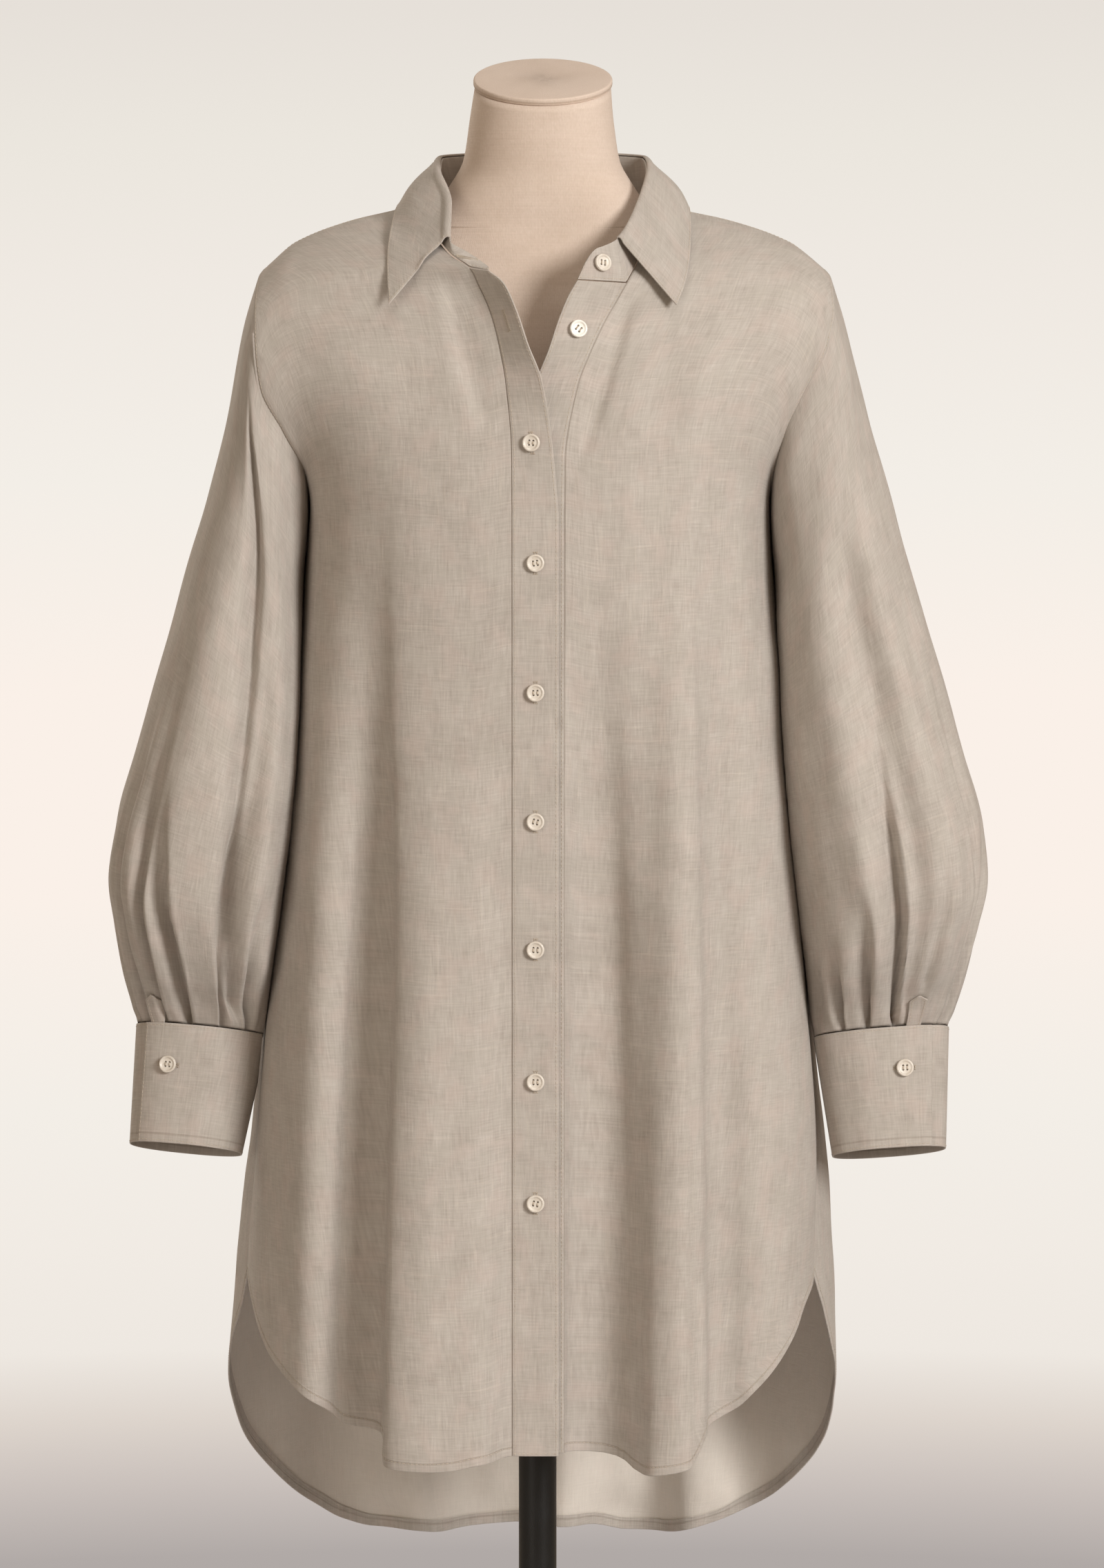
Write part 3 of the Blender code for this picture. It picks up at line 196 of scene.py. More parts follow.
# Line of the shoulder seam: its fall from the neck point to the shoulder tip
SHOULDER = table(
    "share drop",
    (0.000, 0.0000),
    (0.155, 0.0055),
    (0.457, 0.0138),
    (0.800, 0.0290),
    (0.957, 0.0440),
    (1.000, 0.0490),
)
SHOULDER_TIP = {"right": 0.1955, "left": 0.2050}

# Armholes: how far out the seam lies as it climbs from the underarm to the shoulder tip
ARMHOLE = table(
    "rise front_right front_left back_right back_left",
    (0.000, 0.1625, 0.1660, 0.1625, 0.1660),
    (0.200, 0.1650, 0.1680, 0.1660, 0.1690),
    (0.350, 0.1800, 0.1760, 0.1820, 0.1850),
    (0.475, 0.1960, 0.1900, 0.1950, 0.1990),
    (0.600, 0.2000, 0.2060, 0.2010, 0.2060),
    (0.720, 0.2010, 0.2110, 0.2025, 0.2100),
    (0.870, 0.1995, 0.2100, 0.2000, 0.2090),
    (1.000, 0.1955, 0.2050, 0.1955, 0.2050),
)
ARMHOLE_FRONT = 0.086
ARMHOLE_BACK = 0.072
ARMHOLE_ROUND = 0.9
ARMHOLE_LIFT = 0.88
BACK_NECK = (0.058, 1.520)
SHOULDER_BLADES = 0.014

# Sleeves and cuffs: rings between an outer point on the silhouette and an inner point beside the body
RING_COLUMNS = (
    "share right_outer_x right_outer_z right_inner_x right_inner_z "
    "left_outer_x left_outer_z left_inner_x left_inner_z front back middle tip"
)
SLEEVES = table(
    RING_COLUMNS,
    (0.00, 0.1955, 1.4720, 0.1625, 1.3060, 0.2050, 1.4720, 0.1660, 1.3060, 0.086, 0.072, 0.000, 0.000),
    (0.06, 0.2060, 1.4400, 0.1620, 1.2920, 0.2155, 1.4400, 0.1650, 1.2920, 0.088, 0.078, 0.000, 0.000),
    (0.12, 0.2125, 1.4120, 0.1640, 1.2750, 0.2240, 1.4120, 0.1665, 1.2750, 0.089, 0.082, 0.000, 0.000),
    (0.20, 0.2215, 1.3702, 0.1665, 1.2452, 0.2370, 1.3702, 0.1690, 1.2452, 0.090, 0.086, -0.002, 0.000),
    (0.30, 0.2370, 1.3126, 0.1660, 1.2056, 0.2535, 1.3126, 0.1685, 1.2056, 0.089, 0.088, -0.010, 0.000),
    (0.40, 0.2545, 1.2510, 0.1660, 1.1610, 0.2705, 1.2510, 0.1690, 1.1610, 0.090, 0.090, -0.018, 0.000),
    (0.50, 0.2720, 1.1865, 0.1690, 1.1165, 0.2895, 1.1865, 0.1725, 1.1165, 0.091, 0.091, -0.026, 0.000),
    (0.60, 0.2890, 1.1269, 0.1740, 1.0739, 0.3065, 1.1269, 0.1775, 1.0739, 0.091, 0.091, -0.032, 0.000),
    (0.70, 0.3030, 1.0749, 0.1800, 1.0339, 0.3200, 1.0749, 0.1835, 1.0339, 0.089, 0.089, -0.033, 0.000),
    (0.77, 0.3080, 1.0369, 0.1845, 1.0039, 0.3235, 1.0369, 0.1875, 1.0039, 0.085, 0.085, -0.033, 0.002),
    (0.84, 0.3035, 1.0019, 0.1885, 0.9779, 0.3170, 1.0019, 0.1915, 0.9779, 0.076, 0.076, -0.032, 0.004),
    (0.90, 0.2970, 0.9679, 0.1915, 0.9549, 0.3090, 0.9679, 0.1945, 0.9549, 0.060, 0.060, -0.030, 0.006),
    (0.96, 0.2915, 0.9419, 0.1940, 0.9329, 0.3015, 0.9419, 0.1980, 0.9329, 0.040, 0.040, -0.028, 0.008),
    (1.00, 0.2890, 0.9289, 0.1955, 0.9199, 0.2965, 0.9269, 0.2000, 0.9189, 0.030, 0.030, -0.028, 0.008),
)
CUFFS = table(
    RING_COLUMNS,
    (0.00, 0.2900, 0.9281, 0.1950, 0.9191, 0.2975, 0.9261, 0.1995, 0.9181, 0.031, 0.031, -0.028, 0.008),
    (1.00, 0.2945, 0.8434, 0.2134, 0.8354, 0.2950, 0.8399, 0.2129, 0.8339, 0.029, 0.029, -0.044, 0.008),
)
SLEEVE_ROWS = 18
SLEEVE_BLEND = 0.30
SLEEVE_SQUARE = 0.86
SLEEVE_CLEAR = 0.0022
BESIDE = 0.97
NEARBY = 0.02

# Long folds of the sleeves: the turn is in degrees from the outer side, forwards
WAVE_COLUMNS = "turn_top turn_hem width rise start stop"
WAVES = {
    "right": table(
        WAVE_COLUMNS,
        (80, 124, 9, -0.008, 0.10, 1.00),
        (108, 148, 12, 0.004, 0.20, 0.92),
        (56, 84, 14, 0.003, 0.20, 0.80),
        (250, 255, 14, -0.006, 0.20, 0.98),
        (300, 300, 14, 0.004, 0.25, 0.95),
    ),
    "left": table(
        WAVE_COLUMNS,
        (84, 78, 10, -0.008, 0.20, 1.00),
        (108, 102, 13, 0.004, 0.20, 0.92),
        (66, 58, 12, 0.005, 0.20, 0.95),
        (250, 250, 14, -0.006, 0.20, 0.98),
        (300, 305, 14, 0.004, 0.25, 0.95),
    ),
}

# Plackets of the sleeves: each row is a place up and across the cells of the sleeve beside the cuff
SLEEVE_PLACKET_COLUMN = {"right": 3, "left": 4}
PLACKET_RISE = (0.04, 0.40, 0.80, 1.00, 1.16)
PLACKET_WIDTH = (0.90, 0.90, 0.90, 0.90, 0.16)
PLACKET_LIFT = 0.0024

# Collar
ROLL_LINE = table(
    "place x y z",
    (0.00, -0.0337, -0.0950, 1.4775),
    (0.03, -0.0480, -0.0935, 1.4865),
    (0.07, -0.0620, -0.0885, 1.4960),
    (0.17, -0.0615, -0.0540, 1.5220),
    (0.27, -0.0700, -0.0110, 1.5440),
    (0.35, -0.0690, 0.0250, 1.5510),
    (0.43, -0.0400, 0.0460, 1.5530),
    (0.50, 0.0040, 0.0530, 1.5535),
    (0.57, 0.0470, 0.0460, 1.5530),
    (0.65, 0.0765, 0.0250, 1.5510),
    (0.73, 0.0790, -0.0110, 1.5440),
    (0.83, 0.0700, -0.0550, 1.5180),
    (0.92, 0.0561, -0.0900, 1.4960),
    (1.00, 0.0378, -0.1060, 1.4885),
)
LEAF_EDGE = table(
    "place x y z",
    (0.07, -0.1048, -0.1080, 1.4510),
    (0.13, -0.1050, -0.0830, 1.4700),
    (0.20, -0.1035, -0.0460, 1.4960),
    (0.27, -0.1005, -0.0080, 1.5150),
    (0.36, -0.0900, 0.0380, 1.5130),
    (0.43, -0.0540, 0.0680, 1.5080),
    (0.50, 0.0020, 0.0790, 1.5060),
    (0.57, 0.0560, 0.0680, 1.5080),
    (0.64, 0.0930, 0.0380, 1.5130),
    (0.73, 0.1100, -0.0080, 1.5150),
    (0.80, 0.1090, -0.0460, 1.4940),
    (0.86, 0.1065, -0.0830, 1.4680),
    (0.92, 0.0985, -0.1080, 1.4505),
)
LEAF_START = 0.07
LEAF_END = 0.92
STAND_LYING = 0.16
LEAF_CLEAR = 0.0045

# Buttons: the profile runs from the middle of the dish over the rim, in shares of radius and thickness
BUTTON_RADIUS = 0.0063
BUTTON_THICK = 0.0030
BUTTON_GAP = 0.0008
BUTTON_ROUND = 64
BUTTON_TILT = 0.3
# Painted shade: the near-black colour laid in the shallow pits that stand for the button's holes
HOLE_SHADE = (0.05, 0.042, 0.034)
HOLE_FLAT = 0.72
HOLE_SLOPE = 0.5
HOLE_DEPTH = 0.5
TIE_LEVEL = 0.70
TIE_THICK = 0.62
TIE_ARCH = 1.4
BUTTON_DISH = (0.05, 0.62, 16)
DISH_HIGH = (0.66, 0.10)
BUTTON_RIM = (
    (0.68, 0.74),
    (0.73, 0.86),
    (0.79, 0.97),
    (0.85, 1.0),
    (0.91, 0.97),
    (0.96, 0.87),
    (0.99, 0.72),
    (1.0, 0.56),
    (0.99, 0.40),
    (0.94, 0.22),
    (0.84, 0.08),
    (0.70, 0.0),
    (0.35, 0.0),
)
BUTTON_PLACES = (
    ("button_front_1", "left", 1.4338),
    ("button_front_2", "right", 1.3550),
    ("button_front_3", "right", 1.2710),
    ("button_front_4", "right", 1.1800),
    ("button_front_5", "right", 1.0890),
    ("button_front_6", "right", 0.9985),
    ("button_front_7", "right", 0.9050),
    ("button_front_8", "right", 0.8190),
)

# Dress form
NECK_RADIUS = 0.06
TORSO = table(
    "height wide front back middle_x middle_y tilt",
    (0.800, 0.1500, 0.1000, 0.1050, 0.000, 0.002, 0),
    (0.806, 0.1570, 0.1070, 0.1120, 0.000, 0.002, 0),
    (0.880, 0.1630, 0.1140, 0.1150, 0.000, 0.002, 0),
    (0.960, 0.1540, 0.1080, 0.1080, 0.000, 0.000, 0),
    (1.060, 0.1260, 0.0960, 0.0900, 0.000, -0.002, 0),
    (1.150, 0.1320, 0.1080, 0.0930, 0.000, -0.002, 0),
    (1.220, 0.1430, 0.1220, 0.0980, 0.000, -0.002, 0),
    (1.280, 0.1490, 0.1280, 0.1010, 0.000, -0.002, 0),
    (1.340, 0.1500, 0.1180, 0.1020, 0.000, 0.000, 0),
    (1.390, 0.1590, 0.0960, 0.0940, 0.000, 0.002, 0),
    (1.425, 0.1650, 0.0820, 0.0820, 0.000, 0.002, 0),
    (1.448, 0.1660, 0.0700, 0.0700, 0.001, 0.001, 0),
    (1.465, 0.1600, 0.0620, 0.0600, 0.001, 0.000, 0),
    (1.478, 0.1460, 0.0560, 0.0530, 0.001, -0.001, 0),
    (1.488, 0.1260, 0.0530, 0.0490, 0.002, -0.002, 0),
    (1.498, 0.1040, 0.0510, 0.0460, 0.002, -0.003, 0),
    (1.507, 0.0880, 0.0500, 0.0450, 0.003, -0.004, 0),
    (1.518, 0.0760, 0.0490, 0.0450, 0.003, -0.006, 2),
    (1.532, 0.0660, 0.0490, 0.0450, 0.003, -0.007, 4),
    (1.550, 0.0560, 0.0480, 0.0450, 0.003, -0.009, 8),
    (1.575, 0.0520, 0.0490, 0.0480, 0.003, -0.011, 12),
    (1.6035, 0.0485, 0.0480, 0.0480, 0.004, -0.015, 17),
)
TORSO_SQUARE = 0.9
TORSO_FOOT = (0.0008, 0.0018, 0.003, 0.0045)
NECK_SEAM_LEAN = 0.10
CAP_SEAM = 0.35
CAP_INNER = 0.5
CAP_THICK = 0.0050
CAP_OVERHANG = 0.0012
CAP_ROUND = 0.0015
PART_GAP = 0.0004

# Cuffs: the lap over the button, counted in rows and columns of the cuff
CUFF_ROWS = 3
CUFF_LAP = 0.0021
CUFF_LAP_START = {"right": 2.7, "left": 3.3}
CUFF_BUTTON = {"right": (1.93, 2.0), "left": (1.91, 1.85)}

# Stand
POLE_RADIUS = 0.0138
SOCKET_RADIUS = 0.0450
SOCKET_THICK = 0.0060
SOCKET_COLLAR = (0.0200, 0.0300)
BASE_RADIUS = 0.1700
BASE_EDGE = 0.0060
BASE_THICK = 0.0140
BASE_BOSS = (0.0230, 0.0400)
BASE_SLOPE = (0.9, 1.4)
METAL_INNER = 0.4
METAL_ROUND = 0.0012
STAND_SIDES = 128

# Ends of the collar's stand, rounded over this share of its length and by this share of its height
STAND_ROUND = 0.02
STAND_CORNER = 0.45
STAND_COLUMNS = 260
STAND_BUTTON_PLACE = 9

# The leaf of the collar where it turns over the stand
LEAF_ROLL = table(
    "out rise",
    (-0.0004, 0.0015),
    (0.0008, 0.0020),
    (0.0020, 0.0020),
    (0.0032, 0.0014),
    (0.0043, 0.0004),
    (0.0052, -0.0009),
    (0.0058, -0.0022),
)

# Small sizes of the sewn cloth
BAND_RISE = {"right": 0.0006, "left": 0.0002}
SEAM_FLAT = 0.03
FOLD_FLAT = 0.006
WALL_ROUND = 0.35
WALL_CORNER = 55
SLEEVE_GAP = 0.0012
SLEEVE_ROUND = 0.56
OPEN_BUTTONHOLE = 1.440

# Threads: places along a short thread, how far each is arched off the cloth, and how wide it is there
THREAD_SHAPE = ((0.0, 0.25, 0.75, 1.0), (-0.8, 1.0, 1.0, -0.8), (0.6, 1.0, 1.0, 0.6))
STITCH_ARCH = 0.9
HOLE_ARCH = 1.6
SLIT = 0.0002
BAR_THREADS = 5
BAR_REACH = 0.0005
BAR_BEYOND = 0.0004
FORM_FINE = (160, 128)

# Camera, floor and backdrop: the far floor and the backdrop glow with painted light, whose colours are read
# by distance from the middle and by height; the floor is painted darker towards the middle, as shade, and
# the backdrop darker higher up
CAMERA_LENS = 158.4
CAMERA_SENSOR = 36.0
CAMERA_TILT = 6.0
CAMERA_FAR = 5.0
CAMERA_AIM = (0.0105, 1.10)
FLOOR_NEAR = 1.6
FLOOR_INNER = 0.02
WALL_RADIUS = 12.8
WALL_HEIGHT = 6.0
FLOOR_GLOW = (
    (0.0, (168, 161, 158)),
    (2.44, (176, 169, 166)),
    (2.81, (200, 191, 186)),
    (3.21, (221, 212, 204)),
    (3.66, (238, 232, 225)),
    (4.43, (241, 235, 228)),
    (5.69, (243, 238, 231)),
    (8.37, (250, 240, 232)),
)
WALL_GLOW = (
    (0.0, (250, 240, 232)),
    (0.54, (243, 238, 231)),
    (1.07, (239, 233, 226)),
    (1.42, (235, 230, 222)),
    (1.75, (230, 224, 217)),
    (3.0, (225, 219, 212)),
)

FLOOR_DARK = (196, 196, 201)
FLOOR_PALE = (212, 212, 217)
RIM_SIDES = 96
LAMP_AIM = (0.0, 0.0, 1.05)
LAMPS = table(
    "name place size power colour",
    ("main_light", (2.7, -3.3, 2.5), 1.5, "key", "lamp"),
    ("overhead_light", (0.2, -0.6, 4.2), 1.6, "overhead", "lamp"),
    ("back_light", (-2.2, 3.8, 2.2), 2.4, "behind", "bounce"),
    ("fill_light", (-2.6, -3.6, 1.6), 2.4, "fill", "bounce"),
)

# Fineness of the cloth: columns and rows of each piece, and how far up the hem its first rows lie
FRONT_FINE = (110, 150, 84)
BACK_FINE = (84, 24, 150, 60)
SLEEVE_FINE = (216, 190)
CUFF_FINE = (168, 21, 26)
BAND_FINE = 15
STAND_FINE = 14
LEAF_FINE = (180, 30)
PLACKET_FINE = (26, 12)
HEM_STEPS = (0.0, 0.0010, 0.0020, 0.0032, 0.0045, 0.0060, 0.0075, 0.0090, 0.0110)
HEM_TURNED = 7
STEEPEST = 0.42
FRONT_LEVEL = len(HEM_STEPS) - 1 + FRONT_FINE[1]
BACK_LEVEL = len(HEM_STEPS) - 1 + BACK_FINE[2]
NECK_LEVEL = FRONT_LEVEL + NECK_ROW * FRONT_FINE[2] // UP_ROWS

# How folds are held still beside seams, and how the panels are smoothed and let out
BAND_HOLD = 0.016
SIDE_HOLD = {"front": 0.12, "back": 0.25}
BLADES_HOLD = 0.6
FOLD_LONGEST = 1.2
DENSE_MORE = 1.3
DENSE_PLACE = 0.27
DENSE_WIDTH = 0.13
DENSE_STEPS = 100
EDGE_HOLD = 0.08
FRONT_SMOOTH = (26, 160)
BACK_SMOOTH = (24, 140)
LEAF_SMOOTH = 60
WAVE_FADE = (0.2, 0.08)
LAP_BEYOND = 2.5
LAP_FADE = 2.0
STAND_FOOT = (0.0006, 0.0018)
STAND_LIFT = (0.0, 0.0, 0.0003)
LEAF_BULGE = (0.006, 0.003)
HEM_ROLL_STEPS = 5
SLEEVE_SEAM_HOLD = 0.1

# Small uneven waves: how many, how long, how strong, and the seed of each piece's random draws
RUMPLE_WAVES = 9
RUMPLE_LENGTH = (0.035, 0.120)
RUMPLE_SHARE = (0.4, 1.0)
SEEDS = {"back": 5, "front": 7, "sleeve": 11, "buttons": 3}

# Creases, listed one by one. On the body they are read in X up the height; on a sleeve, in degrees forwards
# from the outer side up the share of its length above the cuff.
CREASE_COLUMNS = "low high at_low at_high bow wide_low wide_high lean rise fade_low fade_high"
CREASES = {
    "front_right": table(
        CREASE_COLUMNS,
        (0.60, 1.26, -0.150, -0.116, -0.002, 0.021, 0.026, 0.8, -0.0195, 0.05, 0.50),
        (0.60, 1.26, -0.160, -0.142, -0.002, 0.018, 0.014, 1.0, 0.0034, 0.05, 0.40),
        (0.62, 1.10, -0.082, -0.078, 0.000, 0.024, 0.016, 1.2, 0.0042, 0.05, 0.50),
        (1.350, 1.478, -0.032, -0.064, -0.002, 0.009, 0.012, 0.7, -0.0036, 0.30, 0.25),
    ),
    "front_left": table(
        CREASE_COLUMNS,
        (0.60, 1.27, 0.050, 0.040, 0.004, 0.026, 0.027, 1.2, -0.0205, 0.05, 0.45),
        (0.62, 1.30, 0.100, 0.094, 0.003, 0.014, 0.016, 0.8, 0.0040, 0.05, 0.40),
        (0.62, 1.28, 0.140, 0.124, 0.000, 0.016, 0.014, 1.0, -0.0032, 0.05, 0.40),
        (1.330, 1.468, 0.027, 0.068, 0.002, 0.006, 0.009, 1.6, -0.0042, 0.30, 0.25),
        (1.300, 1.440, 0.038, 0.084, 0.004, 0.009, 0.012, 1.0, 0.0022, 0.40, 0.30),
    ),
    "back": table(
        CREASE_COLUMNS,
        (0.52, 1.20, -0.118, -0.096, -0.004, 0.020, 0.026, 0.8, -0.0105, 0.05, 0.50),
        (0.52, 1.08, -0.078, -0.070, 0.002, 0.018, 0.022, 1.2, 0.0046, 0.05, 0.50),
        (0.52, 1.26, -0.034, -0.022, 0.004, 0.018, 0.028, 1.1, -0.0085, 0.05, 0.55),
        (0.52, 1.12, 0.012, 0.010, -0.003, 0.018, 0.024, 0.9, 0.0040, 0.05, 0.50),
        (0.52, 1.24, 0.060, 0.046, -0.005, 0.022, 0.028, 0.8, -0.0100, 0.05, 0.50),
        (0.52, 1.14, 0.132, 0.112, 0.003, 0.016, 0.022, 1.2, -0.0085, 0.05, 0.45),
    ),
    "sleeve_right": table(
        CREASE_COLUMNS,
        (-0.02, 0.35, 27, 6, 0, 2.4, 7, 1.8, -0.0105, 0.01, 0.7),
        (-0.02, 0.53, 43, 34, -3, 2.4, 6, 1.6, -0.0105, 0.01, 0.7),
        (-0.02, 0.59, 62, 52, 0, 2.4, 6, 1.6, -0.0109, 0.01, 0.7),
        (-0.02, 0.42, 84, 60, 6, 2.4, 7, 2.2, -0.0149, 0.01, 0.6),
        (-0.02, 0.48, 106, 112, 0, 2.7, 7, 0.6, -0.0140, 0.01, 0.7),
        (0.10, 0.95, 121, 82, 2, 5.0, 4.4, 1.5, -0.0050, 0.30, 0.12),
        (0.00, 0.74, 122, 112, 0, 9, 10, 1.3, -0.0075, 0.10, 0.45),
        (-0.02, 0.31, 132, 136, 0, 2.7, 7, 0.7, -0.0123, 0.01, 0.7),
        (-0.02, 0.42, 340, 350, 0, 2.7, 8, 1.0, -0.0114, 0.01, 0.7),
        (-0.02, 0.59, 315, 318, 3, 2.7, 7, 1.7, -0.0131, 0.01, 0.7),
        (-0.02, 0.36, 290, 286, 0, 2.7, 8, 0.7, -0.0114, 0.01, 0.7),
        (-0.02, 0.55, 262, 266, -3, 2.7, 7, 1.5, -0.0140, 0.01, 0.7),
        (-0.02, 0.39, 236, 232, 0, 2.7, 8, 1.0, -0.0114, 0.01, 0.7),
    ),
    "sleeve_left": table(
        CREASE_COLUMNS,
        (0.00, 0.80, 152, 150, 0, 10, 10, 1.0, -0.0030, 0.10, 0.45),
        (-0.02, 0.34, 27, 14, 0, 2.7, 8, 0.7, -0.0105, 0.01, 0.7),
        (-0.02, 0.56, 38, 30, 0, 2.4, 6, 1.6, -0.0105, 0.01, 0.7),
        (-0.02, 0.53, 80, 84, 7, 2.4, 6, 0.6, -0.0149, 0.01, 0.5),
        (-0.02, 0.31, 100, 108, 0, 2.7, 7, 0.6, -0.0114, 0.01, 0.7),
        (-0.02, 0.22, 122, 132, 0, 2.7, 7, 0.7, -0.0114, 0.01, 0.7),
        (-0.02, 0.50, 66, 60, 0, 2.7, 8, 1.0, -0.0053, 0.01, 0.8),
        (-0.02, 0.39, 342, 350, 0, 2.7, 8, 1.0, -0.0114, 0.01, 0.7),
        (-0.02, 0.62, 312, 316, 3, 2.7, 7, 1.7, -0.0131, 0.01, 0.7),
        (-0.02, 0.34, 288, 284, 0, 2.7, 8, 0.7, -0.0114, 0.01, 0.7),
        (-0.02, 0.57, 260, 264, -3, 2.7, 7, 1.5, -0.0140, 0.01, 0.7),
        (-0.02, 0.42, 234, 230, 0, 2.7, 8, 1.0, -0.0114, 0.01, 0.7),
    ),
}
PLEATS_END = 0.030
PLEATS_HELD = 0.45
PLEAT_BESIDE = 0.24
PLEAT_BROAD = 2.3
PLEAT_SHARP = 1.55
PUFF_RISE = 0.0006
PUFF_PLACE = 0.040
PUFF_REACH = 0.030
PLACKET_FLAT = 0.80
PLACKET_FLAT_WIDTH = 9.0
PLACKET_FLAT_UP = 0.070
PLACKET_FLAT_FADE = 0.030
RUMPLE = 0.0007
SEAM_FLUSH = 0.0010
SEAM_REACH = 0.0003


def read(rows, column, places):
    """A named column of a table, read between its rows along a smooth curve that never overshoots."""
    keys = np.array([row[0] for row in rows])
    values = np.array([getattr(row, column) for row in rows])
    steps = np.diff(keys)
    slopes = np.diff(values) / steps
    product = slopes[:-1] * slopes[1:]
    total = np.where(product > 0, slopes[:-1] + slopes[1:], 1.0)
    middle = np.where(product > 0, 2 * product / total, 0.0)
    tangents = np.concatenate([slopes[:1], middle, slopes[-1:]])
    places = np.clip(places, keys[0], keys[-1])
    index = np.clip(np.searchsorted(keys, places, side="right") - 1, 0, len(steps) - 1)
    step = steps[index]
    part = (places - keys[index]) / step
    rest = 1 - part
    return (
        values[index] * rest**2 * (1 + 2 * part)
        + values[index + 1] * part**2 * (3 - 2 * part)
        + step * part * rest * (tangents[index] * rest - tangents[index + 1] * part)
    )


def ease(share):
    """Rises smoothly from 0 to 1."""
    share = np.clip(share, 0.0, 1.0)
    return share * share * (3 - 2 * share)


def mix(first, second, share):
    """A share of the way from the first to the second."""
    return first + (second - first) * share


def join(x, y, z):
    """Three arrays of coordinates as one array of points."""
    return np.stack(np.broadcast_arrays(x, y, z), axis=-1)


def unit(vectors):
    """The same directions with a length of 1."""
    length = np.linalg.norm(vectors, axis=-1, keepdims=True)
    return vectors / np.maximum(length, NO_LENGTH)


def creases(panel, x, height):
    """How far the folds of a panel stand out at these places."""
    total = np.zeros(np.broadcast(x, height).shape)
    for fold in FOLDS[panel]:
        down = np.clip((fold.start - height) / (fold.start - HEM_LEVEL), 0.0, FOLD_LONGEST)
        low = mix(fold.from_top, fold.from_hem, down)
        high = mix(fold.to_top, fold.to_hem, down)
        band = (1 + np.tanh((x - low) / fold.soft_from)) * (1 + np.tanh((high - x) / fold.soft_to)) / 4
        total = total + fold.rise * down**fold.growth * band
    return total


def front_section(side, sweep, height):
    """Points of a front below the underarm, for shares of the way from its band to its side seam."""
    inner = BAND_SEAM[side]
    reach = read(SKIRT, "seam_" + side, height) - inner
    seam = read(SKIRT, "seam_depth", height)
    depth = read(SKIRT, "front", height) + BAND_LAP[side] + seam
    sine = np.sin(sweep * math.pi / 2)
    cosine = np.cos(np.minimum(sweep, 1.0) * math.pi / 2).clip(0.0)
    x = inner + reach * sine**SQUARE_FRONT
    y = seam - depth * cosine**SQUARE_FRONT
    steep = 2 - SQUARE_FRONT
    outward = unit(join(sine**steep / reach, -(cosine**steep) / depth, 0.0))
    held = ease((x - inner) / BAND_HOLD) * ease((1 - sweep) / SIDE_HOLD["front"])
    swell = creases("front", SIGN[side] * x, height) * held
    points = join(x, y, height) + outward * swell[..., None]
    points[..., 0] *= SIGN[side]
    return points


def back_section(side, sweep, height):
    """Points of half the back below the underarm, for shares of the way from its middle to its side."""
    seam_x = read(SKIRT, "seam_" + side, height)
    seam_y = read(SKIRT, "seam_depth", height)
    wide_x = np.maximum(read(SKIRT, "wide_" + side, height), seam_x)
    wide_y = read(SKIRT, "wide_depth", height)
    depth = read(SKIRT, "back", height) - wide_y
    last = math.pi - np.arcsin((seam_x / wide_x) ** (1 / SQUARE_BACK))
    turn = sweep * last
    sine = np.sin(turn).clip(0.0)
    behind = np.cos(turn).clip(0.0)
    before = (-np.cos(turn)).clip(0.0) / np.maximum(-np.cos(last), TINY)
    x = wide_x * sine**SQUARE_BACK
    y = wide_y + depth * behind**SQUARE_BACK - (wide_y - seam_y) * before
    steep = 2 - SQUARE_BACK
    outward = unit(join(sine**steep / wide_x, behind**steep / depth, 0.0))
    swell = creases("back", SIGN[side] * x, height) * ease((1 - sweep) / SIDE_HOLD["back"])
    points = join(x, y, height) + outward * swell[..., None]
    points[..., 0] *= SIGN[side]
    return points


def shoulder_seam(side, share):
    """Points of the shoulder seam, from the neck point to the shoulder tip."""
    x = mix(NECK_POINT[0], SHOULDER_TIP[side], share)
    y = mix(NECK_POINT[1], 0.0, ease(share / 0.5))
    return join(SIGN[side] * x, y, NECK_POINT[2] - read(SHOULDER, "drop", share))


def armhole(side, face, rise):
    """Points of the armhole seam on the front or the back, from the underarm to the shoulder tip."""
    x = read(ARMHOLE, face + "_" + side, rise)
    reach = -ARMHOLE_FRONT if face == "front" else ARMHOLE_BACK
    y = reach * np.sin(math.pi * rise).clip(0.0) ** ARMHOLE_ROUND
    top = NECK_POINT[2] - SHOULDER[-1].drop
    z = mix(UNDERARM, top, ((1 - np.cos(math.pi * rise)) / 2) ** ARMHOLE_LIFT)
    return join(SIGN[side] * x, y, z)


def opening(edge, side, rise):
    """Points of an edge beside the neck opening."""
    x, y, z = (read(edge, side + "_" + axis, rise) for axis in "xyz")
    return join(SIGN[side] * x, y, z)


def stretched(bottom, top, inner, outer, rise, inner_hold, outer_hold):
    """A patch between four edges, upright at its bottom row and rounding over to lie flat at its top."""
    turn = rise[:, None] * math.pi / 2
    share = join(ease(rise[:, None]), 1 - np.cos(turn), np.sin(turn))
    patch = bottom[None] * (1 - share) + top[None] * share
    pull_in = (inner - patch[:, 0])[:, None] * inner_hold[None, :, None]
    pull_out = (outer - patch[:, -1])[:, None] * outer_hold[None, :, None]
    return patch + pull_in + pull_out


def facing(grid, ring=False):
    """Outward direction at each point of a grid whose rows rise and whose columns run left to right."""
    over = np.gradient(grid, axis=1)
    if ring:
        over[:, 0] = over[:, -1] = (grid[:, 1] - grid[:, -2]) / 2
    return unit(np.cross(over, np.gradient(grid, axis=0)))


def lengths(grid):
    """Distance along the rows of a grid from their first point."""
    steps = np.linalg.norm(np.diff(grid, axis=0), axis=-1)
    return np.concatenate([np.zeros((1,) + steps.shape[1:]), np.cumsum(steps, axis=0)])


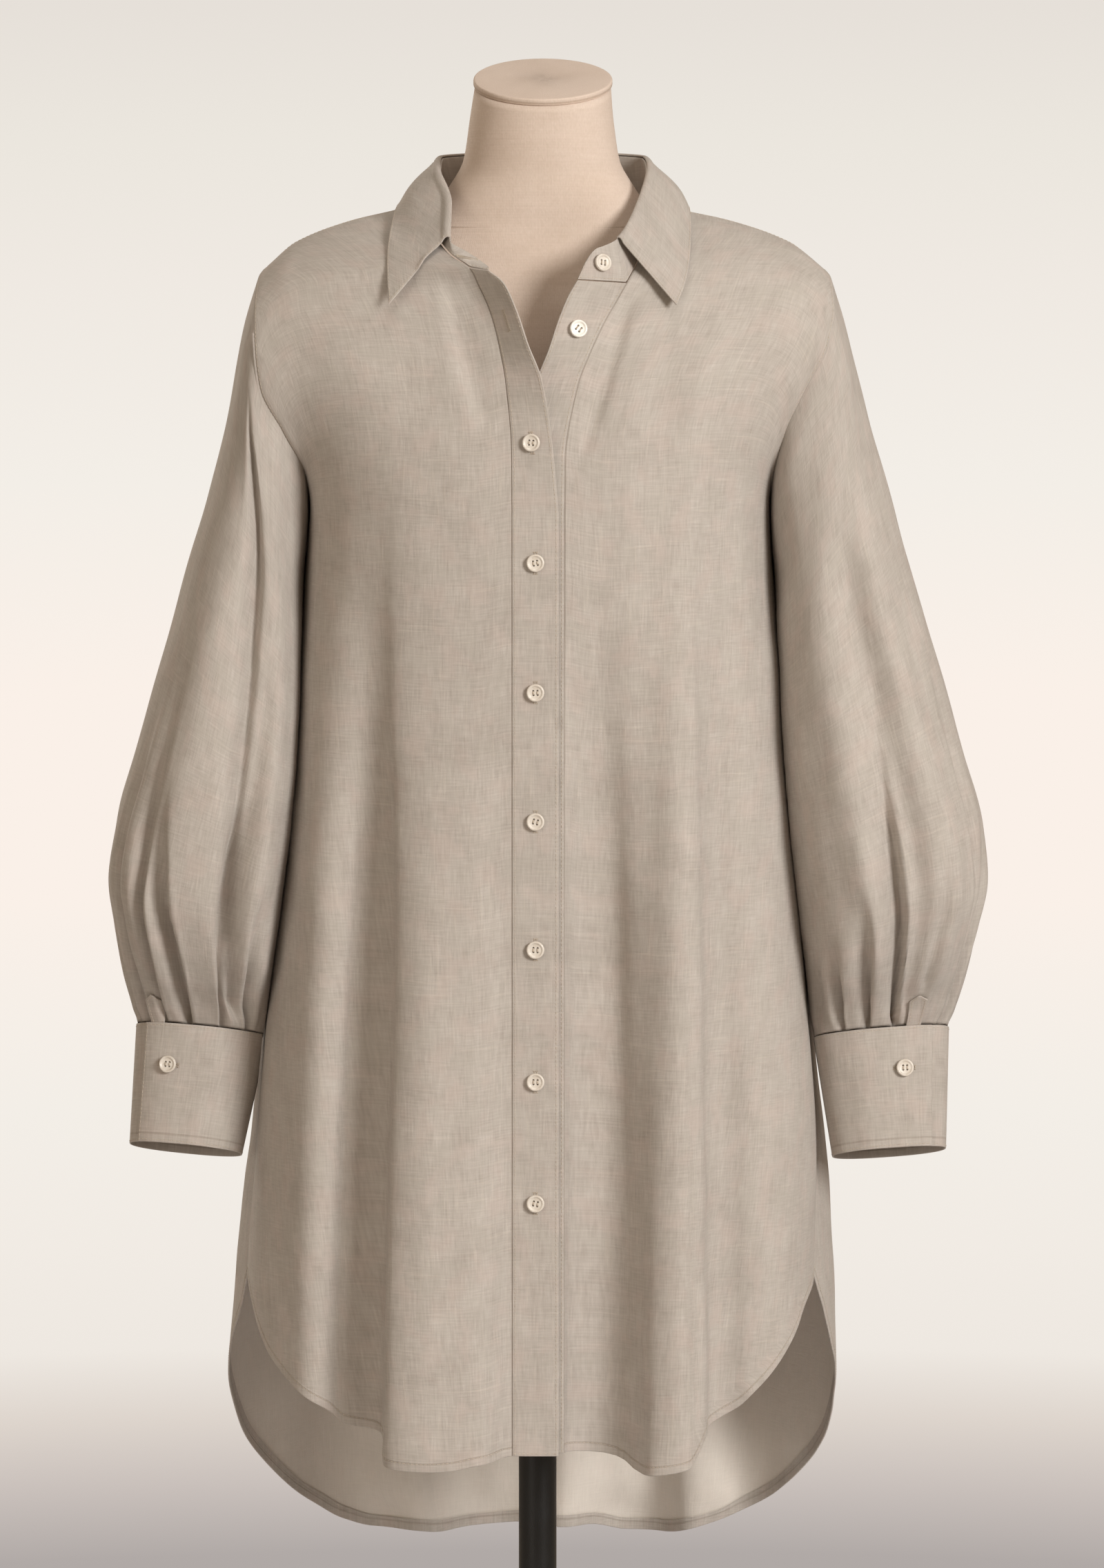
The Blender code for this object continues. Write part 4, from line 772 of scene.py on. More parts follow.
def at(distance, run, values):
    """Points or directions read along a line of them, at these distances."""
    return np.stack([np.interp(distance, run, values[:, axis]) for axis in range(3)], axis=-1)


def grid_faces(rows, columns, ring=False, down=False, capped=False):
    """Faces of a grid of points; a ring closes round, runs up or down, and may be capped at its ends."""
    index = np.arange(rows * columns).reshape(rows, columns)
    if down:
        index = index[::-1]
    beside = np.roll(index, -1, axis=1)
    walls = np.stack([index[:-1], beside[:-1], beside[1:], index[1:]], axis=-1)
    if not ring:
        walls = walls[:, :-1]
    faces = walls.reshape(-1, 4).tolist()
    if capped:
        faces += [index[0][::-1].tolist(), index[-1].tolist()]
    return faces


def own_mesh(name, points, faces, finish, **layers):
    """A smooth object from points and faces, with named numbers or vectors on its points."""
    mesh = bpy.data.meshes.new(name)
    mesh.from_pydata(np.reshape(points, (-1, 3)).tolist(), [], faces)
    mesh.shade_smooth()
    for label, values in layers.items():
        values = np.ascontiguousarray(values, np.float32).ravel()
        vector = len(values) == 3 * len(mesh.vertices)
        layer = mesh.attributes.new(label, "FLOAT_VECTOR" if vector else "FLOAT", "POINT")
        layer.data.foreach_set("vector" if vector else "value", values)
    mesh.materials.append(finish)
    piece = bpy.data.objects.new(name, mesh)
    bpy.context.scene.collection.objects.link(piece)
    return piece


def declare(piece, node=None):
    """Puts a piece on the part's one body, and hides the solid that it replaces."""
    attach(piece, "root")
    if node:
        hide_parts(node)


def folded(piece, across, up, round_it=False):
    """How far the listed creases of a piece stand out at these places."""
    total = np.zeros(np.broadcast(across, up).shape)
    for crease in CREASES[piece]:
        part = (up - crease.low) / (crease.high - crease.low)
        inside = np.clip(part, 0.0, 1.0)
        centre = mix(crease.at_low, crease.at_high, inside) + crease.bow * np.sin(math.pi * inside)
        away = across - centre
        if round_it:
            away = (away + 180) % 360 - 180
        away = away / mix(crease.wide_low, crease.wide_high, inside)
        away = np.where(away > 0, away * crease.lean, away / crease.lean)
        shown = ease(part / crease.fade_low) * ease((1 - part) / crease.fade_high)
        profile = np.exp(-(away**2))
        if round_it:
            profile = profile - PLEAT_BESIDE * np.exp(-((away / PLEAT_BROAD) ** 2))
        total = total + crease.rise * profile * shown
    return total


def rumple(across, up, seed):
    """Small uneven waves, as worn linen has."""
    chance = np.random.default_rng(seed)
    total = np.zeros(np.broadcast(across, up).shape)
    for _ in range(RUMPLE_WAVES):
        turn = chance.uniform(0, math.pi)
        length = chance.uniform(*RUMPLE_LENGTH)
        phase = chance.uniform(0, 2 * math.pi)
        wave = np.sin((across * math.cos(turn) + up * math.sin(turn)) * 2 * math.pi / length + phase)
        total = total + wave * chance.uniform(*RUMPLE_SHARE)
    return total * RUMPLE / 3


class Cloth:
    """A grid of points on the outer side of a piece of cloth, with what its finish reads at each."""

    def __init__(self, grid, ring=False, level_row=0, middle_column=0):
        self.grid = np.array(grid)
        self.ring = ring
        self.level_row = level_row
        self.middle_column = middle_column
        self.out = facing(self.grid, ring)
        self.seam = np.ones(self.grid.shape[:2])
        self.hem = np.ones(self.grid.shape[:2])
        self.thread = None

    def press(self, height):
        """Moves each point out by its own height."""
        self.grid = self.grid + self.out * height[..., None]
        self.out = facing(self.grid, self.ring)

    def turned(self, values, border):
        """Values of the grid with their rows running in from a border."""
        if border in ("first", "last"):
            values = values.swapaxes(0, 1)
        return values[::-1] if border in ("high", "last") else values

    def far(self, border):
        """Distance of each point from a border of the piece."""
        away = lengths(self.turned(self.grid, border))
        if border in ("high", "last"):
            away = away[::-1]
        return away.swapaxes(0, 1) if border in ("first", "last") else away

    def seams(self, *borders):
        """Sets each point's distance from the nearest of these borders."""
        for border in borders:
            self.seam = np.minimum(self.seam, self.far(border))

    def set_flush(self, border, first_row):
        """Leaves only a faint line along a seam from this row up, as where a sleeve is set in."""
        beside = self.far(border)[first_row:] < self.seam[first_row:] + SEAM_REACH
        flush = np.maximum(self.seam[first_row:], SEAM_FLUSH)
        self.seam[first_row:] = np.where(beside, flush, self.seam[first_row:])

    def lay_threads(self, around=None, by_rows=False):
        """Gives each point its place along the weft and the warp of the flat cloth."""
        up = lengths(self.grid)
        up = up - up[self.level_row]
        if by_rows:
            up = np.broadcast_to(up.mean(axis=1, keepdims=True), up.shape)
        if around is None:
            over = self.far("first")
            over = over - over[:, self.middle_column][:, None]
            if by_rows:
                over = np.broadcast_to(over.mean(axis=0, keepdims=True), over.shape)
        else:
            over = np.broadcast_to(np.linspace(0, around, self.grid.shape[1]), up.shape)
        self.thread = join(over, up, 0.0 * up)

    def line(self, border, distance):
        """Points at a distance in from a border, and the way that the cloth faces at each."""
        own = (self.far(border), self.grid, self.out)
        away, grid, out = (self.turned(values, border).swapaxes(0, 1) for values in own)
        places = [at(distance, run, points) for run, points in zip(away, grid)]
        ways = [at(distance, run, outward) for run, outward in zip(away, out)]
        return np.array(places), unit(np.array(ways))

    def turn_hem(self, thick, rows):
        """Rolls the lowest edge inwards and up the inside, as a turned hem."""
        into = unit(self.grid[1] - self.grid[0])
        half = thick / 2
        edge, out = self.grid[0], self.out[0]
        roll = [
            edge + into * half * (1 - math.sin(turn)) - out * half * (1 - math.cos(turn))
            for turn in np.linspace(math.pi, 0, HEM_ROLL_STEPS)
        ]
        inner = [self.grid[i] - self.out[i] * thick for i in range(rows, 0, -1)]
        self.grid = np.concatenate([inner, roll, self.grid[1:]])
        order = list(range(rows, 0, -1)) + [0] * len(roll)
        self.out = np.concatenate([-self.out[order], self.out[1:]])
        for name in ("seam", "hem", "thread"):
            values = getattr(self, name)
            setattr(self, name, np.concatenate([values[order], values[1:]]))

    def build(self, name, node, finish, thick=0.0):
        """Makes the piece: a single layer, or a wall of this thickness with rounded edges."""
        faces = grid_faces(*self.grid.shape[:2])
        layers = {"thread": self.thread, "seam": self.seam, "hem": self.hem}
        piece = own_mesh(name, self.grid, faces, finish, **layers)
        if thick:
            wall = piece.modifiers.new("wall", "SOLIDIFY")
            wall.thickness = thick
            wall.offset = -1.0
            wall.use_even_offset = False
            edge = piece.modifiers.new("rounded edge", "BEVEL")
            edge.width = thick * WALL_ROUND
            edge.segments = 2
            edge.limit_method = "ANGLE"
            edge.angle_limit = math.radians(WALL_CORNER)
        declare(piece, node)
        over = float(self.far("first")[:, -1].max())
        up = float(self.far("low")[-1].max())
        area = min(cloth_area(self.grid), over * up)


def cloth_area(grid):
    """Area of a grid, each of its cells as two triangles."""
    over = grid[:-1, 1:] - grid[:-1, :-1]
    up = grid[1:, :-1] - grid[:-1, :-1]
    far = grid[1:, 1:] - grid[:-1, 1:]
    back = grid[1:, 1:] - grid[1:, :-1]
    first = np.linalg.norm(np.cross(over, up), axis=-1).sum() / 2
    return float(first + np.linalg.norm(np.cross(back, far), axis=-1).sum() / 2)


def spread(share):
    """Places the columns of a front closer together where its deep folds turn."""
    middles = (np.arange(DENSE_STEPS) + 0.5) / DENSE_STEPS
    density = 1 + DENSE_MORE * np.exp(-(((middles - DENSE_PLACE) / DENSE_WIDTH) ** 2))
    places = np.concatenate([[0.0], np.cumsum(density)]) / density.sum()
    return np.interp(share, places, np.linspace(0, 1, DENSE_STEPS + 1))


def softened(grid, level, reach, times):
    """A panel smoothed up its rows near one row, and left as it is along its two sides."""
    rows, columns = grid.shape[:2]
    near = np.exp(-(((np.arange(rows) - level) / reach) ** 2))[:, None]
    beside = np.minimum(np.arange(columns), columns - 1 - np.arange(columns)) / columns
    share = (near * ease(beside / EDGE_HOLD)[None])[1:-1, :, None] / 2
    grid = grid.copy()
    for _ in range(times):
        grid[1:-1] += ((grid[:-2] + grid[2:]) / 2 - grid[1:-1]) * share
    return grid


def ironed(grid, times):
    """A grid smoothed both ways inside its borders."""
    grid = grid.copy()
    for _ in range(times):
        around = (grid[:-2, 1:-1] + grid[2:, 1:-1] + grid[1:-1, :-2] + grid[1:-1, 2:]) / 4
        grid[1:-1, 1:-1] += (around - grid[1:-1, 1:-1]) / 2
        grid[0, 1:-1] += ((grid[0, :-2] + grid[0, 2:]) / 2 - grid[0, 1:-1]) / 2
    return grid


def climbing(hem, line, rows):
    """Shares of the way from the hem to the underarm, with rows close together beside the hem."""
    run = lengths(line * np.array([1.0, 1.0, 0.0]))
    slope = np.gradient(hem, run)
    upright = np.maximum(1 / np.sqrt(1 + slope**2), STEEPEST)
    near = np.array(HEM_STEPS)[:, None] / (upright * (UNDERARM - hem))[None]
    rest = mix(near[-1][None], 1.0, np.linspace(0, 1, rows + 1)[1:, None])
    return np.concatenate([near, rest])


def front_panel(side, columns, low_rows, up_rows):
    """Grid of a front, from its hem to its shoulder seam and from its band to its side."""
    share = np.linspace(0, 1, columns + 1)
    sweep = spread(share)
    hem = read(FRONT_HEM, side, sweep)
    climb = climbing(hem, front_section(side, sweep, hem), low_rows)
    low = front_section(side, np.broadcast_to(sweep, climb.shape), mix(hem, UNDERARM, climb))
    rise = np.linspace(0, 1, up_rows + 1)
    up = stretched(
        low[-1],
        shoulder_seam(side, share),
        opening(OPENING, side, rise),
        armhole(side, "front", rise),
        rise,
        (1 - share) ** 2,
        share**3,
    )
    return softened(np.concatenate([low, up[1:]]), FRONT_LEVEL, *FRONT_SMOOTH)


def back_panel(side_columns, neck_columns, low_rows, up_rows):
    """Grid of the back, from its hem to its shoulder seams and from its right side to its left."""
    share = np.linspace(0, 1, side_columns + 1)
    neck = np.linspace(0, 1, neck_columns + 1)[:-1]
    sweep = np.concatenate([neck * NECK_SHARE, mix(NECK_SHARE, 1.0, share)])
    rise = np.linspace(0, 1, up_rows + 1)
    turn = neck * math.pi / 2
    depth, height = BACK_NECK
    halves = []
    for side in ("right", "left"):
        hem = read(BACK_HEM, side, sweep)
        climb = climbing(hem, back_section(side, sweep, hem), low_rows)
        low = back_section(side, np.broadcast_to(sweep, climb.shape), mix(hem, UNDERARM, climb))
        neckline = join(
            SIGN[side] * NECK_POINT[0] * np.sin(turn),
            mix(NECK_POINT[1], depth, np.cos(turn)),
            mix(NECK_POINT[2], height, np.cos(turn)),
        )
        top = np.concatenate([neckline, shoulder_seam(side, share)])
        over = rise * math.pi / 2
        middle = mix(low[-1, 0][None], top[0][None], join(0.0, 1 - np.cos(over), np.sin(over)))
        up = stretched(low[-1], top, middle, armhole(side, "back", rise), rise, 0 * sweep, sweep**4)
        blades = np.sin(math.pi * rise) ** 2
        up[..., 1] += SHOULDER_BLADES * blades[:, None] * ease((1 - sweep) / BLADES_HOLD)
        halves.append(np.concatenate([low, up[1:]]))
    whole = np.concatenate([halves[0][:, :0:-1], halves[1]], axis=1)
    return softened(whole, BACK_LEVEL, *BACK_SMOOTH)


def band(side, panel_edge, low_rows, up_rows, columns):
    """Grid of a front band, from its seam to its free edge and from the hem to the neck."""
    rise = np.linspace(0, 1, up_rows + 1)
    rise = rise[rise <= NECK_ROW / UP_ROWS + TINY]
    seam = panel_edge[: low_rows + len(rise)]
    free_up = opening(FREE_EDGE, side, rise)
    free_low = seam[:low_rows].copy()
    free_low[:, 0] = SIGN[side] * BAND_EDGE[side]
    free_low[:, 1] += free_up[0, 1] - seam[low_rows, 1]
    free = np.concatenate([free_low, free_up])
    across = np.linspace(0, 1, columns)[None, :, None]
    return mix(seam[:, None], free[:, None], across)


class Surface:
    """The faces of grids, for keeping other points clear of them."""

    def __init__(self, grids):
        points, faces = [], []
        for grid in grids:
            faces += (np.array(grid_faces(*grid.shape[:2])) + len(points)).tolist()
            points += grid.reshape(-1, 3).tolist()
        self.tree = BVHTree.FromPolygons(points, faces)

    def clear(self, grid, gap):
        """The grid's points, each moved off the surface until it is at least the gap away from it."""
        flat = grid.reshape(-1, 3).copy()
        for i, point in enumerate(flat):
            place, normal, _, _ = self.tree.find_nearest(Vector(point))
            offset = Vector(point) - place
            height = offset.dot(normal)
            beside = offset.length < gap or abs(height) > BESIDE * offset.length
            if height < gap and offset.length < NEARBY and beside:
                flat[i] += np.array(normal) * (gap - height)
        return flat.reshape(grid.shape)


def rounded_square(wave, degree):
    """A sine or cosine drawn out towards a square one; a degree of 1 leaves it as it is."""
    return np.sign(wave) * np.abs(wave) ** degree


def ring_points(rings, side, share, turn):
    """Points of a sleeve or cuff; it turns forwards from the outer side."""
    cosine, sine = np.cos(turn), np.sin(turn)
    across = rounded_square(cosine, SLEEVE_SQUARE)
    forward = rounded_square(sine, SLEEVE_SQUARE)
    toward = (1 + across) / 2
    inner, outer = side + "_inner_", side + "_outer_"
    x, z = (mix(read(rings, inner + axis, share), read(rings, outer + axis, share), toward) for axis in "xz")
    reach = np.where(sine > 0, read(rings, "front", share), read(rings, "back", share))
    y = read(rings, "middle", share) - forward * reach
    return join(SIGN[side] * x, y, z + forward * read(rings, "tip", share))


def sleeve(side, around, rows):
    """Grid of a sleeve, from its cuff up to its armhole; columns run forwards from its underarm seam."""
    share = np.linspace(0, 1, rows + 1)[:, None]
    turn = np.linspace(0, 2 * math.pi, around + 1)[:-1][None]
    rings = ring_points(SLEEVES, side, share, turn)
    climb = np.linspace(1, 0, around // 2 + 1)
    hole = np.concatenate([armhole(side, "front", climb), armhole(side, "back", climb[::-1])[1:-1]])
    held = 1 - ease(share / SLEEVE_BLEND)
    rings += held[..., None] * (hole - rings[0])[None]
    outward = unit(rings - rings.mean(axis=1, keepdims=True))
    degrees = np.degrees(turn)
    swell = np.zeros(rings.shape[:2])
    for wave in WAVES[side]:
        centre = mix(wave.turn_top, wave.turn_hem, share)
        away = (degrees - centre + 180) % 360 - 180
        shown = ease((share - wave.start) / WAVE_FADE[0]) * ease((wave.stop - share) / WAVE_FADE[1])
        swell = swell + wave.rise * np.exp(-((away / wave.width) ** 2)) * shown
    up = 1 - share
    pleats = folded("sleeve_" + side, degrees, up, round_it=True) * PLEAT_SHARP
    away = (degrees - (SLEEVE_PLACKET_COLUMN[side] + 0.5) * 180 / UP_ROWS + 180) % 360 - 180
    beside = np.exp(-((away / PLACKET_FLAT_WIDTH) ** 2))
    beside = beside * ease((PLACKET_FLAT_UP + PLACKET_FLAT_FADE - up) / PLACKET_FLAT_FADE)
    pleats = pleats * (1 - PLACKET_FLAT * beside) * mix(PLEATS_HELD, 1.0, ease(up / PLEATS_END))
    puff = PUFF_RISE * np.exp(-(((up - PUFF_PLACE) / PUFF_REACH) ** 2))
    swell = swell + pleats + puff * ease(up / PLEATS_END)
    rings += outward * swell[..., None]
    return np.roll(rings, -(around // 2), axis=1)[::-1]


def cuff(side, around, rows, lap_columns):
    """Grid of a cuff, from its edge up to the sleeve; it laps over itself at the button."""
    columns = np.arange(around + lap_columns + 1)
    coarse = around / (2 * UP_ROWS)
    turn = (CUFF_LAP_START[side] / (2 * UP_ROWS) + columns / around) * 2 * math.pi
    up = np.linspace(1, 0, rows + 1)[:, None]
    points = ring_points(CUFFS, side, up, turn[None])
    middle = points[:, :around].mean(axis=1, keepdims=True)
    over = ease((lap_columns / coarse + LAP_BEYOND - columns / coarse) / LAP_FADE) * CUFF_LAP
    return points + unit(points - middle) * over[None, :, None]


def on_grid(grid, row, column):
    """Points on the faces of a grid, at places counted in rows and columns."""
    row, column = np.broadcast_arrays(row, column)
    i = np.clip(np.floor(row).astype(int), 0, grid.shape[0] - 2)
    j = np.clip(np.floor(column).astype(int), 0, grid.shape[1] - 2)
    up, over = (row - i)[..., None], (column - j)[..., None]
    return mix(mix(grid[i, j], grid[i, j + 1], over), mix(grid[i + 1, j], grid[i + 1, j + 1], over), up)


def neckline(fronts, back, row, neck_columns):
    """The neck seam, from the right band's free edge round the back to the left band's."""
    middle = (back.shape[1] - 1) // 2
    right = fronts["right"][row:, 0]
    left = fronts["left"][row:, 0]
    behind = back[-1, middle - neck_columns : middle + neck_columns + 1]
    ends = [opening(FREE_EDGE, side, np.array([NECK_ROW / UP_ROWS])) for side in ("right", "left")]
    return np.concatenate([ends[0], right, behind[1:-1], left[::-1], ends[1]])


def evenly(points, count):
    """A line of points read again at even steps."""
    length = lengths(points)
    return at(np.linspace(0, length[-1], count), length, points)


def collar_stand(seam, columns, rows):
    """Grid of the collar's stand, from the neck seam up to the roll line, with rounded front ends."""
    foot = evenly(seam, columns + 1)
    place = np.linspace(0, 1, columns + 1)
    top = join(*(read(ROLL_LINE, axis, place) for axis in "xyz"))
    up = np.linspace(0, 1, rows + 1)[:, None]
    lying = ease((STAND_LYING - place) / STAND_LYING)[:, None]
    foot = foot + unit(top - foot) * mix(*STAND_FOOT, lying) + np.array(STAND_LIFT)
    edge = np.minimum(place, 1 - place) / STAND_ROUND
    drop = 1 - np.sqrt(1 - (1 - np.clip(edge, 0, 1)) ** 2)
    up = (up * (1 - STAND_CORNER * drop[None]))[..., None]
    return mix(foot, top, up)[:, ::-1]


def collar_leaf(columns, rows):
    """Grid of the collar's leaf, from its free edge up to the roll line and just over it."""
    place = np.linspace(LEAF_START, LEAF_END, columns + 1)
    roll = join(*(read(ROLL_LINE, axis, place) for axis in "xyz"))
    edge = join(*(read(LEAF_EDGE, axis, place) for axis in "xyz"))
    tangent = np.gradient(roll, axis=0)
    up = np.array([0.0, 0.0, 1.0])
    outward = unit(np.cross(tangent, up) * -1.0)
    grid = [roll + outward * turned.out + up * turned.rise for turned in LEAF_ROLL]
    start = grid[-1]
    rounded = np.sin(math.pi * (place - LEAF_START) / (LEAF_END - LEAF_START)).clip(0.0)[:, None] ** 0.5
    for share in np.linspace(0.0, 1.0, rows)[1:]:
        bulge = (outward * LEAF_BULGE[0] + up * LEAF_BULGE[1]) * math.sin(math.pi * share) * rounded
        grid.append(mix(start, edge, share) + bulge)
    return np.array(grid)[::-1, ::-1]


class Number:
    """A socket that carries numbers; arithmetic on it adds Math nodes."""

    def __init__(self, finish, socket):
        self.finish = finish
        self.socket = socket

    def output(self, name):
        """Another output of the same node."""
        return Number(self.finish, self.socket.node.outputs[name])

    def __add__(self, other):
        return self.finish.maths("ADD", self, other)

    __radd__ = __add__

    def __sub__(self, other):
        return self.finish.maths("SUBTRACT", self, other)

    def __rsub__(self, other):
        return self.finish.maths("SUBTRACT", other, self)

    def __mul__(self, other):
        return self.finish.maths("MULTIPLY", self, other)

    __rmul__ = __mul__

    def __truediv__(self, other):
        return self.finish.maths("DIVIDE", self, other)

    def __rtruediv__(self, other):
        return self.finish.maths("DIVIDE", other, self)

    def __abs__(self):
        return self.finish.maths("ABSOLUTE", self)


class Finish:
    """One material, and the nodes that make it."""

    def __init__(self, name, **settings):
        self.material = bpy.data.materials.new(name)
        self.material.use_nodes = True
        self.tree = self.material.node_tree
        self.shader = self.tree.nodes["Principled BSDF"]
        self.feed(self.shader, settings)

    def feed(self, node, inputs):
        """Sets or links sockets, named in words with underscores for spaces or by number."""
        for key, value in inputs.items():
            socket = node.inputs[key.replace("_", " ") if isinstance(key, str) else key]
            if isinstance(value, Number):
                self.tree.links.new(value.socket, socket)
            elif hasattr(value, "__len__") and len(value) == 3 and len(socket.default_value) == 4:
                socket.default_value = (*value, 1.0)
            else:
                socket.default_value = value

    def node(self, kind, settings=None, inputs=None, output=0):
        """A new node with these settings and inputs, as the number that it gives."""
        made = self.tree.nodes.new(kind)
        for key, value in (settings or {}).items():
            if key == "stops":
                for place, colour in value[2:]:
                    made.color_ramp.elements.new(place)
                for element, (place, colour) in zip(made.color_ramp.elements, value):
                    element.position = place
                    element.color = (*colour, 1.0)
            else:
                setattr(made, key, value)
        self.feed(made, inputs or {})
        return Number(self, made.outputs[output])

    def maths(self, operation, first, second=None):
        """One step of arithmetic."""
        values = {0: first} if second is None else {0: first, 1: second}
        return self.node("ShaderNodeMath", {"operation": operation}, values)

    def attribute(self, name, output):
        """What the mesh carries at each point under this name."""
        return self.node("ShaderNodeAttribute", {"attribute_name": name}, output=output)

    def place(self):
        """The point's place on its own piece."""
        return self.node("ShaderNodeTexCoord", output="Object")

    def parts(self, vector):
        """The three numbers of a vector."""
        split = self.node("ShaderNodeSeparateXYZ", inputs={0: vector})
        return split, split.output("Y"), split.output("Z")

    def vector(self, x, y, z):
        """Three numbers as one vector."""
        return self.node("ShaderNodeCombineXYZ", inputs={0: x, 1: y, 2: z})

    def noise(self, place, scale=1.0, detail=2.0, roughness=0.5):
        """Cloudy noise from 0 to 1."""
        inputs = {"Vector": place, "Scale": scale, "Detail": detail, "Roughness": roughness}
        return self.node("ShaderNodeTexNoise", inputs=inputs)

    def between(self, value, low, high):
        """Rises smoothly from 0 to 1 as the value goes from low to high."""
        settings = {"interpolation_type": "SMOOTHSTEP", "clamp": True}
        return self.node("ShaderNodeMapRange", settings, {0: value, 1: low, 2: high, 3: 0.0, 4: 1.0})

    def mixed(self, first, second, share):
        """A colour that goes from the first to the second with the share."""
        settings = {"data_type": "RGBA", "clamp_factor": True}
        return self.node("ShaderNodeMix", settings, {0: share, 6: first, 7: second}, output=2)

    def bump(self, height, strength=1.0):
        """Normals from a height in metres."""
        inputs = {"Strength": strength, "Distance": 1.0, "Height": height}
        return self.node("ShaderNodeBump", inputs=inputs)

    def done(self, **inputs):
        """Feeds the shader, and hands back the finished material."""
        self.feed(self.shader, inputs)
        return self.material


# Linen: scales across a thread and along it, scales and a place for each soft patch, between which noise
# values marks show, how far from a seam or hem its lines and their painted shade reach, and how high each
# part stands, in metres
THREAD_SCALES = (820.0, 70.0)
SLUB_SCALES = (330.0, 24.0)
STREAK_SCALES = (210.0, 22.0)
PATCHES = ((34.0, 34.0, 2.0), (52.0, 46.0, 21.0), (55.0, 38.0, 31.0))
SLUB_SHOWN = (0.60, 0.74)
TINT_SHOWN = (0.48, 0.68)
GROOVE_EDGE = (0.0002, 0.0013)
PRESS_EDGE = (0.0013, 0.0050)
FOLD_EDGE = (0.0002, 0.0012)
HEM_EDGE = (0.0004, 0.0022)
WEAVE_HIGH = 0.00007
THREADS_HIGH = 0.00012
STREAKS_HIGH = 0.00010
CRUMPLE_HIGH = 0.0009
GROOVE_HIGH = 0.0005
PRESS_HIGH = 0.0002
HEM_HIGH = 0.0003


def linen_finish(name, cloth, sewing):
    """Plain-weave linen: uneven threads both ways, slubs, soft mottling, pressed seams and hems, painted
    shade in the seams, along the hems' stitching and between the threads, and painted light on its inner
    side.
    """
    finish = Finish(name, Sheen_Weight=0.10, Sheen_Roughness=0.6, Specular_IOR_Level=0.2)
    across, along, _ = finish.parts(finish.attribute("thread", "Vector"))
    seam = finish.attribute("seam", "Fac")
    hem = finish.attribute("hem", "Fac")

    column = across / cloth.pitch
    row = along / cloth.pitch
    odd = finish.maths("FRACT", (finish.maths("FLOOR", column) + finish.maths("FLOOR", row)) * 0.5) * 2.0
    warp = abs(finish.maths("SINE", column * math.pi))
    weft = abs(finish.maths("SINE", row * math.pi))
    weave = warp * odd + weft * (1.0 - odd)

    def both_ways(scales, warp_place, weft_place, detail=2.0):
        """Noise drawn out along the warp, and along the weft."""
        fine, long = scales
        return (
            finish.noise(finish.vector(across * fine, along * long, warp_place), detail=detail),
            finish.noise(finish.vector(across * long, along * fine, weft_place), detail=detail),
        )

    warp_threads, weft_threads = both_ways(THREAD_SCALES, 0.0, 4.0)
    warp_slubs, weft_slubs = both_ways(SLUB_SCALES, 9.0, 13.0, detail=1.0)
    warp_streaks, weft_streaks = both_ways(STREAK_SCALES, 17.0, 25.0)
    slubs = finish.between(warp_slubs, *SLUB_SHOWN) + finish.between(weft_slubs, *SLUB_SHOWN)
    blotch, blush, crumple = (
        finish.noise(finish.vector(across * wide, along * high, place)) for wide, high, place in PATCHES
    )

    streaks = (warp_streaks - 0.5) * 0.36 + (weft_streaks - 0.5) * 0.16
    tone = (warp_threads - 0.5) * 0.75 + (weft_threads - 0.5) * 0.6 + streaks
    tone = tone + (blotch - 0.5) * 0.5 + 0.5
    colour = finish.mixed(cloth.shaded, cloth.pale, tone)
    colour = finish.mixed(colour, cloth.warm, finish.between(blush, *TINT_SHOWN) * 0.30)
    colour = finish.mixed(colour, cloth.cool, finish.between(1.0 - blush, *TINT_SHOWN) * 0.30)
    colour = finish.mixed(colour, cloth.slub, slubs * 0.15)
    # Painted shade between the threads, where the weave is low
    colour = finish.mixed(colour, cloth.shaded, (1.0 - weave) * 0.20)

    groove = finish.between(seam, *GROOVE_EDGE)
    press = finish.between(seam, *PRESS_EDGE)
    fold_line = 1.0 - finish.between(abs(hem - sewing.hem_line), *FOLD_EDGE)
    hem_body = 1.0 - finish.between(hem, *(sewing.hem_line + far for far in HEM_EDGE))
    # Painted shade at the bottom of each seam
    colour = finish.mixed(cloth.seam_shade, colour, 0.60 + 0.40 * groove)
    # Painted light on the side that faces away, as if let through the cloth
    inside_painted_light = finish.node("ShaderNodeNewGeometry", output="Backfacing")
    colour = finish.mixed(colour, cloth.inside, inside_painted_light * 0.55)
    # Painted shade in the sunken line where the hem is stitched
    colour = finish.mixed(colour, cloth.seam_shade, fold_line * 0.25)

    height = weave * WEAVE_HIGH + (warp_threads + weft_threads) * THREADS_HIGH + slubs * WEAVE_HIGH
    height = height + (warp_streaks + weft_streaks) * STREAKS_HIGH
    height = height + crumple * CRUMPLE_HIGH + groove * GROOVE_HIGH - press * PRESS_HIGH
    height = height + hem_body * HEM_HIGH - fold_line * HEM_HIGH
    rough = 0.86 + (blotch - 0.5) * 0.2
    return finish.done(Base_Color=colour, Roughness=rough, Normal=finish.bump(height, 0.75))


def thread_finish(name, sewing):
    """Twisted sewing thread, a shade paler than the cloth."""
    finish = Finish(name, Sheen_Weight=0.1)
    place = finish.place()
    twist = finish.noise(place, scale=2600.0, detail=2.0)
    colour = finish.mixed(sewing.dark, sewing.pale, finish.between(twist, 0.35, 0.65))
    rough = 0.7 + (twist - 0.5) * 0.2
    return finish.done(Base_Color=colour, Roughness=rough, Normal=finish.bump(twist * 0.00008))


